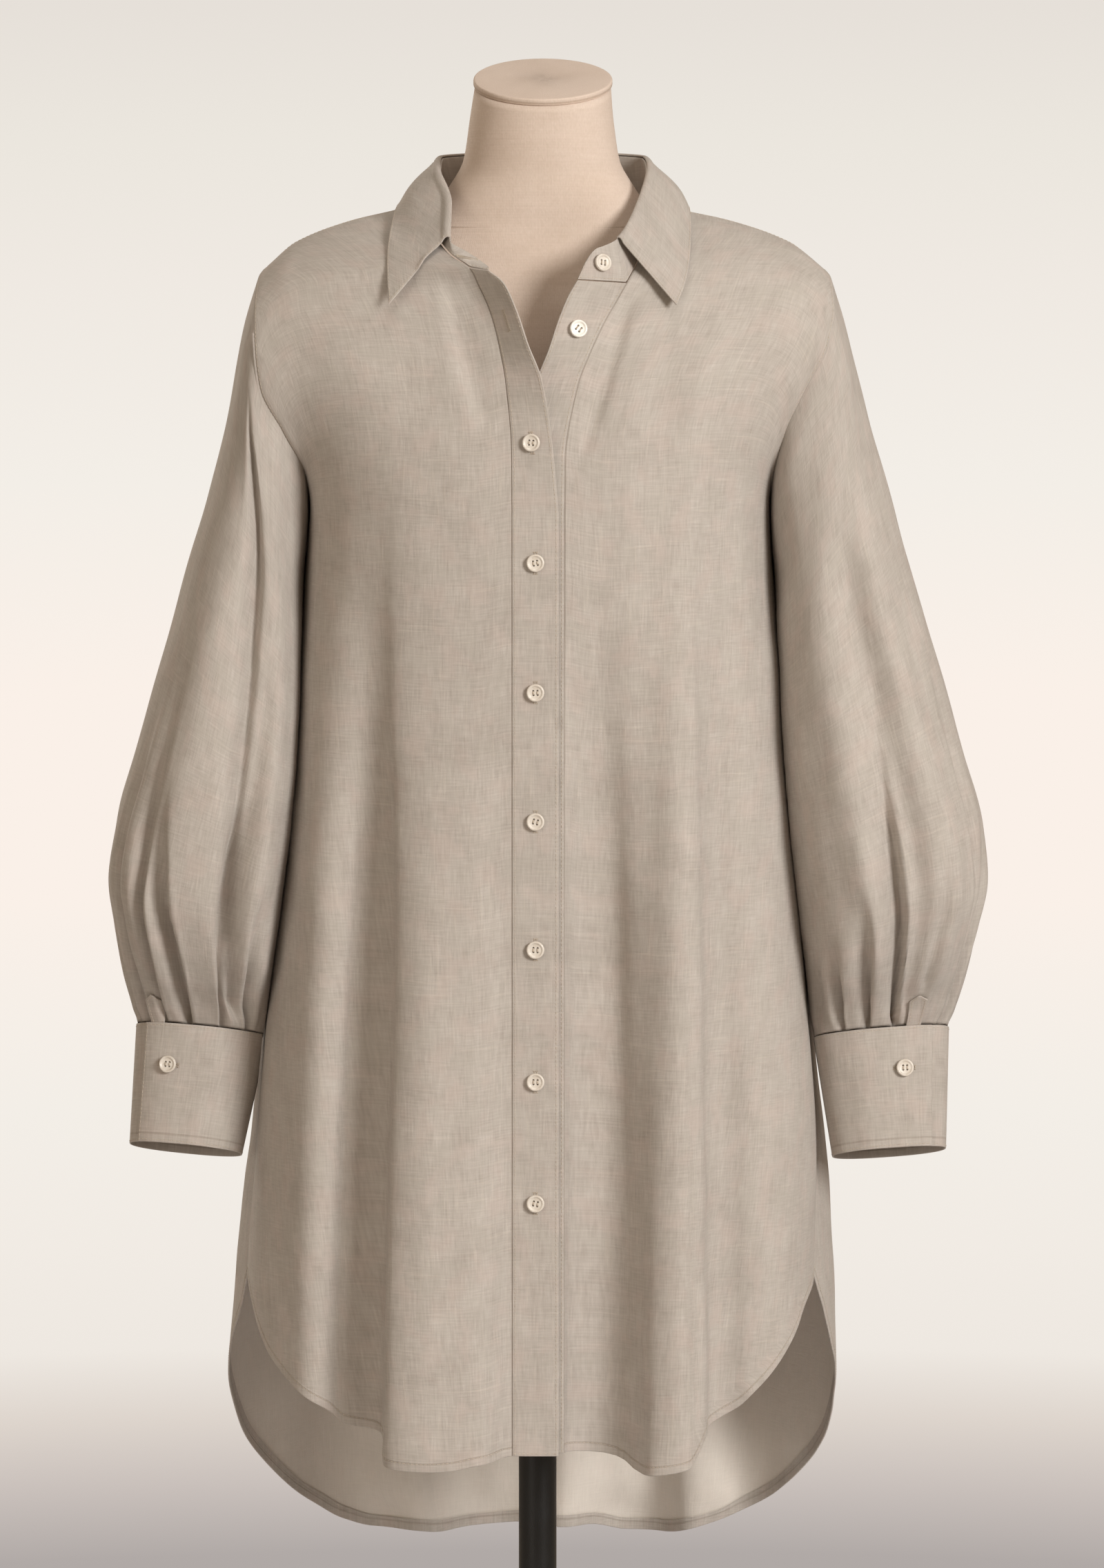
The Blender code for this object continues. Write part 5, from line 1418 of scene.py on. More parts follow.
def resin_finish(name, colour, deep):
    """Pressed resin with a faint cloud in it, and painted shade, near black, in its holes."""
    finish = Finish(name, Coat_Roughness=0.15, Specular_IOR_Level=0.5, Coat_Weight=0.15)
    place = finish.place()
    cloud = finish.noise(place, scale=240.0, detail=3.0, roughness=0.55)
    scratches = finish.noise(place, scale=2200.0, detail=1.0)
    hole = finish.attribute("hole", "Fac")
    tone = finish.mixed(colour, deep, finish.between(cloud, 0.42, 0.72) * 0.5)
    # Painted shade in the holes
    tone = finish.mixed(tone, HOLE_SHADE, hole)
    rough = 0.28 + scratches * 0.12
    return finish.done(Base_Color=tone, Roughness=rough, Normal=finish.bump(cloud * 0.00012))


def cover_finish(name, form):
    """Close knitted cotton stretched over the padded form, with painted shade in its seams."""
    finish = Finish(name, Sheen_Weight=0.12, Sheen_Roughness=0.6, Specular_IOR_Level=0.2)
    place = finish.place()
    seam = finish.attribute("seam", "Fac")
    x, y, z = finish.parts(place)
    per_metre = math.pi / form.knit
    ribs = abs(finish.maths("SINE", (finish.maths("ARCTAN2", y, x) * NECK_RADIUS) * per_metre))
    loops = abs(finish.maths("SINE", z * per_metre))
    fibres = finish.noise(finish.vector(x * 900.0, y * 900.0, z * 380.0), detail=3.0, roughness=0.6)
    weft = finish.noise(finish.vector(x * 40.0, y * 40.0, z * 700.0), detail=2.0)
    cloud = finish.noise(place, scale=16.0, detail=4.0, roughness=0.6)
    tone = (fibres - 0.5) * 0.9 + (weft - 0.5) * 0.35 + (cloud - 0.5) * 0.9 + 0.5
    colour = finish.mixed(form.shaded, form.cover, tone)
    groove = finish.between(seam, 0.0002, 0.0014)
    # Painted shade at the bottom of the cover's seams
    colour = finish.mixed(form.crease, colour, 0.55 + 0.45 * groove)
    height = ribs * loops * 0.00010 + fibres * 0.00016 + groove * 0.00035 + cloud * 0.0006
    rough = 0.82 + (cloud - 0.5) * 0.2
    return finish.done(Base_Color=colour, Roughness=rough, Normal=finish.bump(height, 0.8))


def paint_finish(name, form):
    """Black powder paint with a fine grain and duller patches where hands have been."""
    finish = Finish(name, Specular_IOR_Level=0.5)
    place = finish.place()
    grain = finish.noise(place, scale=1400.0, detail=2.0)
    wear = finish.noise(place, scale=14.0, detail=4.0, roughness=0.6)
    colour = finish.mixed(form.paint, form.paint_worn, finish.between(wear, 0.52, 0.75) * 0.6)
    rough = 0.34 + finish.between(wear, 0.4, 0.7) * 0.14
    return finish.done(Base_Color=colour, Roughness=rough, Normal=finish.bump(grain * 0.00010))


def threads(name, starts, ends, outward, radius, arch, finish):
    """Short sewing threads, each from its start to its end and arched off the cloth between them."""
    along = ends - starts
    side = unit(np.cross(along, outward))[:, None]
    outward = outward[:, None]
    places, lift, width = (np.array(row)[None, :, None] for row in THREAD_SHAPE)
    centre = starts[:, None] + along[:, None] * places + outward * lift * arch
    around = np.arange(4)[None, :, None] * math.pi / 2
    spoke = side * np.cos(around) + outward * np.sin(around)
    points = centre[:, :, None] + spoke[:, None] * width[..., None] * radius
    walls = np.array(grid_faces(4, 4, ring=True, capped=True))
    faces = (walls[None] + np.arange(len(starts))[:, None, None] * 16).reshape(-1, 4)
    piece = own_mesh(name, points, faces.tolist(), finish)
    declare(piece)


def stitches(line, sewing):
    """Starts, ends and outward directions of the stitches along a line on the cloth."""
    places, outward = line
    length = lengths(places)
    step = sewing.stitch + sewing.gap
    first = np.arange(max(int(length[-1] / step), 1)) * step + sewing.gap / 2

    middle = at(first + sewing.stitch / 2, length, outward)
    return at(first, length, places), at(first + sewing.stitch, length, places), unit(middle)


def sew(name, lines, sewing, finish):
    """All the stitches along these lines, as one piece."""
    rows = [stitches(line, sewing) for line in lines]
    starts, ends, outward = (np.concatenate(row) for row in zip(*rows))
    threads(name, starts, ends, outward, sewing.thread, sewing.thread * STITCH_ARCH, finish)


def upright(outward, upward):
    """Unit directions aside, up and outward, square to each other and outward as given."""
    outward = unit(outward)
    upward = unit(upward - outward * np.dot(upward, outward))
    return np.cross(upward, outward), upward, outward


def buttonhole(place, outward, upward, sewing):
    """Starts, ends and outward directions of the threads worked round a buttonhole."""
    side, upward, outward = upright(outward, upward)
    starts, ends = [], []
    for way in (-1.0, 1.0):
        for spot in np.linspace(-0.5, 0.5, sewing.hole_threads) * sewing.hole_length:
            starts.append(place + upward * spot + side * way * SLIT)
            ends.append(place + upward * spot + side * way * sewing.hole_width / 2)
    for end in (-0.5, 0.5):
        for spot in np.linspace(-0.5, 0.5, BAR_THREADS):
            middle = place + upward * end * (sewing.hole_length + BAR_BEYOND)
            middle = middle + side * spot * sewing.hole_width
            starts.append(middle - upward * BAR_REACH)
            ends.append(middle + upward * BAR_REACH)
    return np.array(starts), np.array(ends), np.broadcast_to(outward, (len(starts), 3))


def button_shape(buttons):
    """Points, faces and hole depths of a four-hole button with a rolled rim, lying on Z = 0."""
    dish = [(share, DISH_HIGH[0] + DISH_HIGH[1] * share**2) for share in np.linspace(*BUTTON_DISH)]
    size = [buttons.radius, buttons.radius, buttons.thickness]
    points = revolved(dish + list(BUTTON_RIM), BUTTON_ROUND) * size
    x, y = points[..., 0], points[..., 1]
    spot = buttons.hole_place * math.sqrt(0.5)
    depth = np.zeros_like(x)
    for side in (-spot, spot):
        for rise in (-spot, spot):
            away = np.hypot(x - side, y - rise)
            slope = (away - buttons.hole * HOLE_FLAT) / (buttons.hole * HOLE_SLOPE)
            depth = np.maximum(depth, 1 - ease(slope))
    depth[len(dish) :] = 0.0
    points[..., 2] -= depth * buttons.thickness * HOLE_DEPTH
    return points, grid_faces(*depth.shape, ring=True, down=True, capped=True), depth


def fasten(name, node, place, outward, upward, settings, finish, thread, tilt=0.0):
    """A button held a little off the cloth, with two bars of thread through its holes."""
    buttons = settings.buttons
    points, faces, depth = button_shape(buttons)
    piece = own_mesh(name, points, faces, finish, hole=depth)
    side, upward, outward = upright(outward, upward)
    turned = np.stack([side, upward, outward], axis=1)
    rows = [[*row, spot] for row, spot in zip(turned, place + outward * BUTTON_GAP)]
    lie = Matrix(rows + [[0, 0, 0, 1]]) @ Matrix.Rotation(tilt, 4, "Z")
    piece.matrix_world = lie
    spot = buttons.hole_place * math.cos(math.pi / 4)
    level = buttons.thickness * TIE_LEVEL
    strands = [way * spot + strand * buttons.strand for way in (-1, 1) for strand in (-1, 0, 1)]
    starts, ends = (np.array([lie @ Vector((x, y, level)) for x in strands]) for y in (-spot, spot))
    ways = np.broadcast_to(np.array(lie.to_3x3() @ Vector((0, 0, 1))), starts.shape)
    thick, arch = buttons.strand * TIE_THICK, buttons.strand * TIE_ARCH
    threads(name + "_thread", starts, ends, ways, thick, arch, thread)
    declare(piece, node)


def revolved(profile, sides):
    """Points round a profile of pairs of radius and height."""
    turn = np.arange(sides) * 2 * math.pi / sides
    far, high = (np.array(column)[:, None] for column in zip(*profile))
    return join(far * np.cos(turn), far * np.sin(turn), high)


def turned_shape(name, profile, sides, finish, **layers):
    """A turned solid from a profile that runs down its outer side."""
    faces = grid_faces(len(profile), sides, ring=True, down=True, capped=True)
    layers = {label: np.repeat(values, sides) for label, values in layers.items()}
    return own_mesh(name, revolved(profile, sides), faces, finish, **layers)


def rounded_profile(corners, radius, steps=5):
    """A profile whose inner corners are rounded to a radius."""
    found = [corners[0]]
    for before, corner, after in zip(corners, corners[1:], corners[2:]):
        here = np.array(corner)
        back, ahead = np.array(before) - here, np.array(after) - here
        reach = min(radius, np.linalg.norm(back) / 2, np.linalg.norm(ahead) / 2)
        start, end = here + unit(back) * reach, here + unit(ahead) * reach
        for share in np.linspace(0, 1, steps):
            found.append(tuple(mix(mix(start, here, share), mix(here, end, share), share)))
    found.append(corners[-1])
    return found


def linear(red, green, blue):
    """A colour read on a screen, from 0 to 255, as light, by the screen's usual curve."""
    return tuple(((value / 255 + 0.055) / 1.055) ** 2.4 for value in (red, green, blue))


def colour_setting(name, description, default):
    """A colour for the panel."""
    return bpy.props.FloatVectorProperty(
        name=name, description=description, default=default, subtype="COLOR", size=3, min=0.0, max=1.0
    )


def size_setting(name, description, default):
    """A length in metres for the panel."""
    return bpy.props.FloatProperty(
        name=name, description=description, default=default, unit="LENGTH", min=0.00001, precision=5
    )


def power_setting(name, description, default):
    """A strength for the panel."""
    return bpy.props.FloatProperty(name=name, description=description, default=default, min=0.0)


class ClothSettings(bpy.types.PropertyGroup):
    """The linen."""

    pitch: size_setting("Thread pitch", "Distance from one thread to the next", 0.00058)
    wall: size_setting("Thickness", "Thickness of the doubled pieces", 0.0012)
    pale: colour_setting("Pale threads", "The lighter threads", linear(206, 199, 191))
    # The darker threads, also laid between the threads of the weave as painted shade
    shaded: colour_setting("Dark threads", "The darker threads", linear(160, 150, 141))
    warm: colour_setting("Warm tint", "Pinker patches", linear(199, 182, 173))
    cool: colour_setting("Cool tint", "Greener patches", linear(184, 178, 168))
    slub: colour_setting("Slubs", "Thick places in the threads", linear(216, 205, 192))
    # Painted shade at the bottom of the seams and in the sunken line of the hems' stitching
    seam_shade: colour_setting("Seams", "The bottom of a seam", linear(122, 106, 90))
    # Painted light: a paler colour on the side of the cloth that faces away, standing in for light let
    # through the linen
    inside: colour_setting("Inner side", "The side that lets light through", linear(244, 236, 225))


class SewingSettings(bpy.types.PropertyGroup):
    """The stitches and buttonholes."""

    stitch: size_setting("Stitch", "Length of a stitch", 0.0024)
    gap: size_setting("Gap", "Distance between two stitches", 0.0007)
    thread: size_setting("Thread", "Radius of the sewing thread", 0.00017)
    hem_line: size_setting("Hem", "Height of the hems' stitches", 0.0062)
    edge_line: size_setting("Edge", "Distance of the other stitches from an edge", 0.0018)
    hole_length: size_setting("Buttonhole length", "Length of a buttonhole's slit", 0.0150)
    hole_width: size_setting("Buttonhole width", "Width of a worked buttonhole", 0.0030)
    hole_threads: bpy.props.IntProperty(
        name="Buttonhole threads", description="Threads down a buttonhole's side", default=30, min=4
    )
    pale: colour_setting("Light thread", "The lighter strands", linear(216, 204, 187))
    dark: colour_setting("Dark thread", "The darker strands", linear(178, 162, 143))


class ButtonSettings(bpy.types.PropertyGroup):
    """The buttons."""

    radius: size_setting("Radius", "Radius of a button", BUTTON_RADIUS)
    thickness: size_setting("Thickness", "Thickness at the rim", BUTTON_THICK)
    hole: size_setting("Hole", "Radius of a hole", 0.00062)
    hole_place: size_setting("Hole place", "Distance of each hole from the middle", 0.00205)
    strand: size_setting("Strand", "Radius of the thread through the holes", 0.00028)
    resin: colour_setting("Resin", "The beige buttons", linear(222, 214, 203))
    deep: colour_setting("Cloud", "Darker clouds in the resin", linear(196, 183, 166))
    bright: colour_setting("Bright resin", "The one white button", linear(246, 243, 236))
    bright_deep: colour_setting("Bright cloud", "Clouds in the white button", linear(226, 218, 204))


class FormSettings(bpy.types.PropertyGroup):
    """The dress form and its stand."""

    knit: size_setting("Knit", "Width of a stitch of the cover", 0.0011)
    neck_seam: size_setting("Neck seam", "Height of the seam round the neck", 1.499)
    cover: colour_setting("Cover", "The cover's pale side", linear(223, 206, 193))
    shaded: colour_setting("Cover shade", "The cover's dark fibres", linear(199, 179, 162))
    # Painted shade at the bottom of the cover's seams, round the neck and the cap
    crease: colour_setting("Cover seams", "The bottom of the cover's seams", linear(150, 122, 96))
    paint: colour_setting("Paint", "The stand's paint", linear(14, 13, 12))
    paint_worn: colour_setting("Worn paint", "Paler patches of the paint", linear(25, 24, 22))


class StageSettings(bpy.types.PropertyGroup):
    """The lights."""

    key: power_setting("Main light", "Power of the main light", 162.0)
    fill: power_setting("Fill light", "Power of the fill light", 27.0)
    overhead: power_setting("Overhead light", "Power of the light above", 16.0)
    behind: power_setting("Back light", "Power of the light behind", 70.0)
    sky: power_setting("Surroundings", "Light from all round", 0.32)
    lamp: colour_setting("Lamps", "Colour of the main light and the light above", (1.0, 0.985, 0.965))
    walls: colour_setting("Colour all round", "Colour of the light from all round", (1.0, 0.80, 0.59))
    bounce: colour_setting("Bounce", "Colour of the fill light and the back light", (1.0, 0.94, 0.86))


class DressSettings(bpy.types.PropertyGroup):
    """All the settings of the shirt dress."""

    cloth: bpy.props.PointerProperty(type=ClothSettings)
    sewing: bpy.props.PointerProperty(type=SewingSettings)
    buttons: bpy.props.PointerProperty(type=ButtonSettings)
    form: bpy.props.PointerProperty(type=FormSettings)
    stage: bpy.props.PointerProperty(type=StageSettings)


def finish_named(name, make, *settings):
    """A material made the first time that it is asked for."""
    return bpy.data.materials.get(name) or make(name, *settings)


def dress_finishes(settings):
    """The linen and its sewing thread."""
    linen = finish_named("woven linen", linen_finish, settings.cloth, settings.sewing)
    thread = finish_named("twisted thread", thread_finish, settings.sewing)
    return linen, thread


def panels():
    """Grids of the fronts and the back, as they hang before they are pressed."""
    fronts = {side: front_panel(side, *FRONT_FINE) for side in SIGN}
    return fronts, back_panel(*BACK_FINE)


def body_surface(fronts, back):
    """The outside of the body, on a coarser grid and facing out."""
    return Surface([fronts["right"][::2, ::-2], fronts["left"][::2, ::2], back[::2, ::-2]])


def above(line, row):
    """The part of a line of points and directions from this row up."""
    places, ways = line
    return places[row:], ways[row:]


def front_band(side, fronts):
    """A front band, facing out and lying on its front, before its threads are laid."""
    grid = band(side, fronts[side][:, 0], FRONT_LEVEL, FRONT_FINE[2], BAND_FINE)
    return Cloth(grid if side == "right" else grid[:, ::-1], level_row=FRONT_LEVEL)


def raise_band(strip, side):
    """Lifts a front band off the cloth beside it."""
    strip.press(np.full(strip.seam.shape, BAND_RISE[side]))


def pressed(grid, level_row, middle_column, borders, seed, piece):
    """A panel of the body with its threads laid, its creases and its small waves."""
    panel = Cloth(grid, level_row=level_row, middle_column=middle_column)
    panel.lay_threads()
    panel.seams(*borders)
    across, up = panel.thread[..., 0], panel.thread[..., 1]
    folds = folded(piece, panel.grid[..., 0], panel.grid[..., 2]) * ease(panel.seam / FOLD_FLAT)
    panel.press(rumple(across, up, seed) * ease(panel.seam / SEAM_FLAT) + folds)
    panel.hem = panel.far("low")
    return panel


def make_body(settings):
    """The fronts, the back and the two front bands."""
    linen, thread = dress_finishes(settings)
    sewing = settings.sewing
    fronts, back = panels()
    lines = []

    borders, seed = ("first", "last", "high"), SEEDS["back"]
    panel = pressed(back[:, ::-1], BACK_LEVEL, back.shape[1] // 2, borders, seed, "back")
    lines += [panel.line("low", sewing.hem_line)]
    for border in ("first", "last"):
        panel.set_flush(border, BACK_LEVEL)
        lines += [above(panel.line(border, sewing.edge_line), BACK_LEVEL)]
    panel.turn_hem(settings.cloth.wall, HEM_TURNED)
    panel.build("back", "dress_back", linen)

    for side in SIGN:
        inner, outer, middle = ("first", "last", 0) if side == "left" else ("last", "first", -1)
        grid = fronts[side][:, :: int(SIGN[side])]
        borders, seed = (inner, outer, "high"), SEEDS["front"]
        panel = pressed(grid, FRONT_LEVEL, middle, borders, seed, "front_" + side)
        panel.set_flush(outer, FRONT_LEVEL)
        lines += [panel.line("low", sewing.hem_line), panel.line("high", sewing.edge_line)]
        lines += [above(panel.line(outer, sewing.edge_line), FRONT_LEVEL)]
        panel.turn_hem(settings.cloth.wall, HEM_TURNED)
        panel.build("front_" + side, "dress_front_" + side, linen)

        strip = front_band(side, fronts)
        strip.lay_threads()
        raise_band(strip, side)
        lines += [strip.line(border, sewing.edge_line) for border in ("first", "last", "low")]
        strip.build("band_" + side, "placket_" + side, linen, settings.cloth.wall)
    sew("body_stitches", lines, settings.sewing, thread)


def make_collar(settings):
    """The collar's stand and leaf."""
    linen, thread = dress_finishes(settings)
    edge = settings.sewing.edge_line
    fronts, back = panels()
    seam = neckline(fronts, back, NECK_LEVEL, BACK_FINE[1])
    stand = Cloth(collar_stand(seam, STAND_COLUMNS, STAND_FINE))
    stand.lay_threads()
    lines = [stand.line(border, edge) for border in ("low", "first", "last")]
    stand.build("collar_stand_cloth", "collar_stand", linen, settings.cloth.wall)

    grid = collar_leaf(*LEAF_FINE)
    flat = len(grid) - len(LEAF_ROLL)
    grid[:flat] = ironed(body_surface(fronts, back).clear(grid[:flat], LEAF_CLEAR), LEAF_SMOOTH)
    leaf = Cloth(grid)
    leaf.lay_threads()
    lines += [leaf.line(border, edge) for border in ("low", "first", "last")]
    leaf.build("collar_leaf_cloth", "collar_leaf", linen, settings.cloth.wall)
    sew("collar_stitches", lines, settings.sewing, thread)


def sleeve_grid(side, surface):
    """A sleeve clear of the body, and let into its armhole."""
    around, rows = SLEEVE_FINE
    grid = sleeve(side, around, rows)
    grid[:-1] = surface.clear(grid[:-1], SLEEVE_GAP)
    return grid


def cuff_grid(side, surface):
    """A cuff clear of the body."""
    around, lap, rows = CUFF_FINE
    return surface.clear(cuff(side, around, rows, lap), SLEEVE_CLEAR)


def make_sleeves(settings):
    """The sleeves, their plackets and their cuffs."""
    linen, thread = dress_finishes(settings)
    edge = settings.sewing.edge_line
    surface = body_surface(*panels())
    lines = []
    for side in SIGN:
        order = -int(SIGN[side])
        grid = sleeve_grid(side, surface)
        ringed = np.concatenate([grid, grid[:, :1]], axis=1)[:, ::order]
        shell = Cloth(ringed, ring=True)
        shell.lay_threads(around=SLEEVE_ROUND, by_rows=True)
        shell.seams("low", "high")
        shell.set_flush("high", 0)
        wave = rumple(shell.thread[..., 0], shell.thread[..., 1], SEEDS["sleeve"])
        across = np.linspace(0, 1, ringed.shape[1])
        inside = ease(across / SLEEVE_SEAM_HOLD) * ease((1 - across) / SLEEVE_SEAM_HOLD)
        shell.press(wave * inside * ease(shell.seam / SEAM_FLAT))
        shell.build("sleeve_" + side + "_cloth", "sleeve_" + side, linen)

        strip = Cloth(placket_grid(side, grid)[:, ::order])
        strip.lay_threads()
        lines += [strip.line(border, edge) for border in ("first", "last")]
        strip.build("sleeve_band_" + side, "sleeve_placket_" + side, linen, settings.cloth.wall)

        wrap = Cloth(cuff_grid(side, surface)[:, ::order])
        wrap.lay_threads(by_rows=True)
        wrap.hem = wrap.far("low")
        lines += [wrap.line(border, edge) for border in ("low", "high", "first")]
        wrap.build("cuff_" + side + "_cloth", "cuff_" + side, linen, settings.cloth.wall)
    sew("sleeve_stitches", lines, settings.sewing, thread)


def placket_grid(side, grid):
    """The pointed band over the opening of a sleeve, just above its cuff."""
    around, rows = SLEEVE_FINE
    columns, steps = PLACKET_FINE
    up = np.linspace(PLACKET_RISE[0], PLACKET_RISE[-1], columns + 1)[:, None]
    width = np.interp(up, PLACKET_RISE, PLACKET_WIDTH)
    middle = (SLEEVE_PLACKET_COLUMN[side] + 0.5 + UP_ROWS) % (2 * UP_ROWS)
    over = np.linspace(-0.5, 0.5, steps + 1)[None] * width
    fine = around / (2 * UP_ROWS)
    places = on_grid(grid, up * rows / SLEEVE_ROWS, (middle + over) * fine)
    out = facing(grid)[0 : rows // SLEEVE_ROWS * 2, round(middle * fine)].mean(axis=0)
    return places + unit(out) * -SIGN[side] * PLACKET_LIFT


def band_line(side, height, fronts):
    """The middle of a front band at a height, and the ways that it faces and climbs there."""
    strip = front_band(side, fronts)
    raise_band(strip, side)
    line = strip.grid[:, BAND_FINE // 2]
    out = strip.out[:, BAND_FINE // 2]
    return [at(height, line[:, 2], rows) for rows in (line, out, np.gradient(line, axis=0))]


def make_buttons(settings):
    """All the buttons, their threads and the buttonholes."""
    linen, thread = dress_finishes(settings)
    buttons, sewing = settings.buttons, settings.sewing
    resin = finish_named("pressed resin", resin_finish, buttons.resin, buttons.deep)
    bright = finish_named("bright pressed resin", resin_finish, buttons.bright, buttons.bright_deep)
    fronts, back = panels()
    chance = np.random.default_rng(SEEDS["buttons"])
    holes = []
    for name, side, height in BUTTON_PLACES:
        place, outward, climb = band_line(side, height, fronts)
        finish = bright if side == "left" else resin
        tilt = chance.uniform(-BUTTON_TILT, BUTTON_TILT)
        fasten(name + "_resin", name, place, outward, climb, settings, finish, thread, tilt)
        if side == "right":
            holes.append(buttonhole(place, outward, climb, sewing))
    place, outward, climb = band_line("right", OPEN_BUTTONHOLE, fronts)
    holes.append(buttonhole(place, outward, climb, sewing))

    seam = neckline(fronts, back, NECK_LEVEL, BACK_FINE[1])
    stand = Cloth(collar_stand(seam, STAND_COLUMNS, STAND_FINE))
    for column, used in ((STAND_BUTTON_PLACE, True), (STAND_COLUMNS - STAND_BUTTON_PLACE, False)):
        place = stand.grid[STAND_FINE // 2, column]
        outward = stand.out[STAND_FINE // 2, column]
        up = stand.grid[-1, column] - stand.grid[0, column]
        if used:
            fasten("button_stand_resin", "button_stand", place, outward, up, settings, resin, thread)
        else:
            holes.append(buttonhole(place, outward, np.cross(up, outward), sewing))

    surface = body_surface(fronts, back)
    around, _, rows = CUFF_FINE
    for side in SIGN:
        order = -int(SIGN[side])
        row, column = CUFF_BUTTON[side]
        grid = cuff_grid(side, surface)
        row, column = round(row * rows / CUFF_ROWS), round(column * around / (2 * UP_ROWS))
        outward = facing(grid)[row, column] * order
        climb = grid[row + 1, column] - grid[row, column]
        place = grid[row, column]
        name = "cuff_button_" + side
        fasten(name + "_resin", name, place, outward, climb, settings, resin, thread)
        holes.append(buttonhole(place, outward, np.cross(climb, outward), sewing))
    starts, ends, outward = (np.concatenate(hole) for hole in zip(*holes))
    threads("buttonholes", starts, ends, outward, sewing.thread, sewing.thread * HOLE_ARCH, thread)


def make_form(settings):
    """The padded torso and its neck cap."""
    form = settings.form
    cover = finish_named("knitted cover", cover_finish, form)
    rows, sides = FORM_FINE
    share = np.linspace(0, 1, rows + 1)
    height = mix(TORSO[0].height, TORSO[-1].height, share)
    height = np.concatenate([height[:1], height[0] + np.array(TORSO_FOOT), height[1:]])
    turn = np.linspace(0, 2 * math.pi, sides + 1)[:-1][None]
    wide, front, back, middle_x, middle_y, tilt = (
        read(TORSO, name, height)[:, None] for name in TORSO[0]._fields[1:]
    )
    x = wide * rounded_square(np.cos(turn), TORSO_SQUARE)
    y = np.where(np.sin(turn) > 0, back, front) * rounded_square(np.sin(turn), TORSO_SQUARE)
    points = join(middle_x + x, middle_y + y, height[:, None] + y * np.tan(np.radians(tilt)))
    faces = grid_faces(*points.shape[:2], ring=True, capped=True)
    seam = np.abs(points[..., 2] - form.neck_seam + NECK_SEAM_LEAN * points[..., 1])
    torso = own_mesh("torso_cover", points, faces, cover, seam=seam)
    declare(torso, "form_torso")

    top = TORSO[-1]
    radius = top.wide + CAP_OVERHANG
    inner = radius * CAP_INNER
    corners = [(inner, CAP_THICK), (radius, CAP_THICK), (radius, 0.0), (inner, 0.0)]
    profile = rounded_profile(corners, CAP_ROUND)
    seam = [abs(far - radius) + abs(high - CAP_THICK * CAP_SEAM) for far, high in profile]
    cap = turned_shape("neck_cap_cover", profile, sides, cover, seam=seam)
    lean = Matrix.Rotation(math.radians(top.tilt), 4, "X")
    lift = lean @ Vector((0.0, 0.0, PART_GAP))
    cap.matrix_world = Matrix.Translation(Vector((top.middle_x, top.middle_y, top.height)) + lift) @ lean
    declare(cap, "form_neck_cap")


def make_stand(settings):
    """The socket, the pole and the round base."""
    paint = finish_named("powder paint", paint_finish, settings.form)
    under = TORSO[0].height - PART_GAP
    collar_radius, collar_length = SOCKET_COLLAR
    boss_radius, boss_height = BASE_BOSS
    pole_top, pole_foot = under - collar_length - PART_GAP, boss_height + PART_GAP
    inner = collar_radius * METAL_INNER
    shapes = {
        "stand_socket": (
            (inner, under),
            (SOCKET_RADIUS, under),
            (SOCKET_RADIUS, under - SOCKET_THICK),
            (collar_radius, under - SOCKET_THICK),
            (collar_radius, under - collar_length),
            (inner, under - collar_length),
        ),
        "stand_pole": (
            (inner, pole_top),
            (POLE_RADIUS, pole_top),
            (POLE_RADIUS, pole_foot),
            (inner, pole_foot),
        ),
        "stand_base": (
            (inner, boss_height),
            (boss_radius, boss_height),
            (boss_radius, BASE_THICK),
            (BASE_RADIUS * BASE_SLOPE[0], BASE_EDGE * BASE_SLOPE[1]),
            (BASE_RADIUS, BASE_EDGE),
            (BASE_RADIUS, 0.0),
            (inner, 0.0),
        ),
    }
    for node, corners in shapes.items():
        profile = rounded_profile(corners, METAL_ROUND)
        declare(turned_shape(node + "_metal", profile, STAND_SIDES, paint), node)


def glow(name, place, stops, reach):
    """A plain surface that glows with painted light, in colours read by a distance from 0 to the reach."""
    black = (0.0, 0.0, 0.0)
    finish = Finish(name, Roughness=1.0, Specular_IOR_Level=0.0, Base_Color=black, Emission_Strength=1.0)
    colours = [(far / reach, linear(*colour)) for far, colour in stops]
    ramp = finish.node("ShaderNodeValToRGB", {"stops": colours}, {0: place(finish) / reach})
    return finish.done(Emission_Color=ramp)


def radius_of(finish):
    """Distance of a point from the upright axis."""
    x, y, _ = finish.parts(finish.place())
    return finish.maths("SQRT", x * x + y * y)


def height_of(finish):
    """Height of a point."""
    return finish.parts(finish.place())[2]


def ring_mesh(name, rims, finish):
    """A surface of revolution through these pairs of radius and height."""
    return own_mesh(name, revolved(rims, RIM_SIDES), grid_faces(len(rims), RIM_SIDES, ring=True), finish)


def area_light(name, place, size, power, colour):
    """A round lamp turned to the middle of the dress."""
    lamp = bpy.data.objects.new(name, bpy.data.lights.new(name, "AREA"))
    lamp.data.shape = "DISK"
    lamp.data.size = size
    lamp.data.energy = power
    lamp.data.color = colour
    lamp.location = place
    lamp.rotation_euler = (Vector(place) - Vector(LAMP_AIM)).to_track_quat("Z", "Y").to_euler()
    bpy.context.scene.collection.objects.link(lamp)


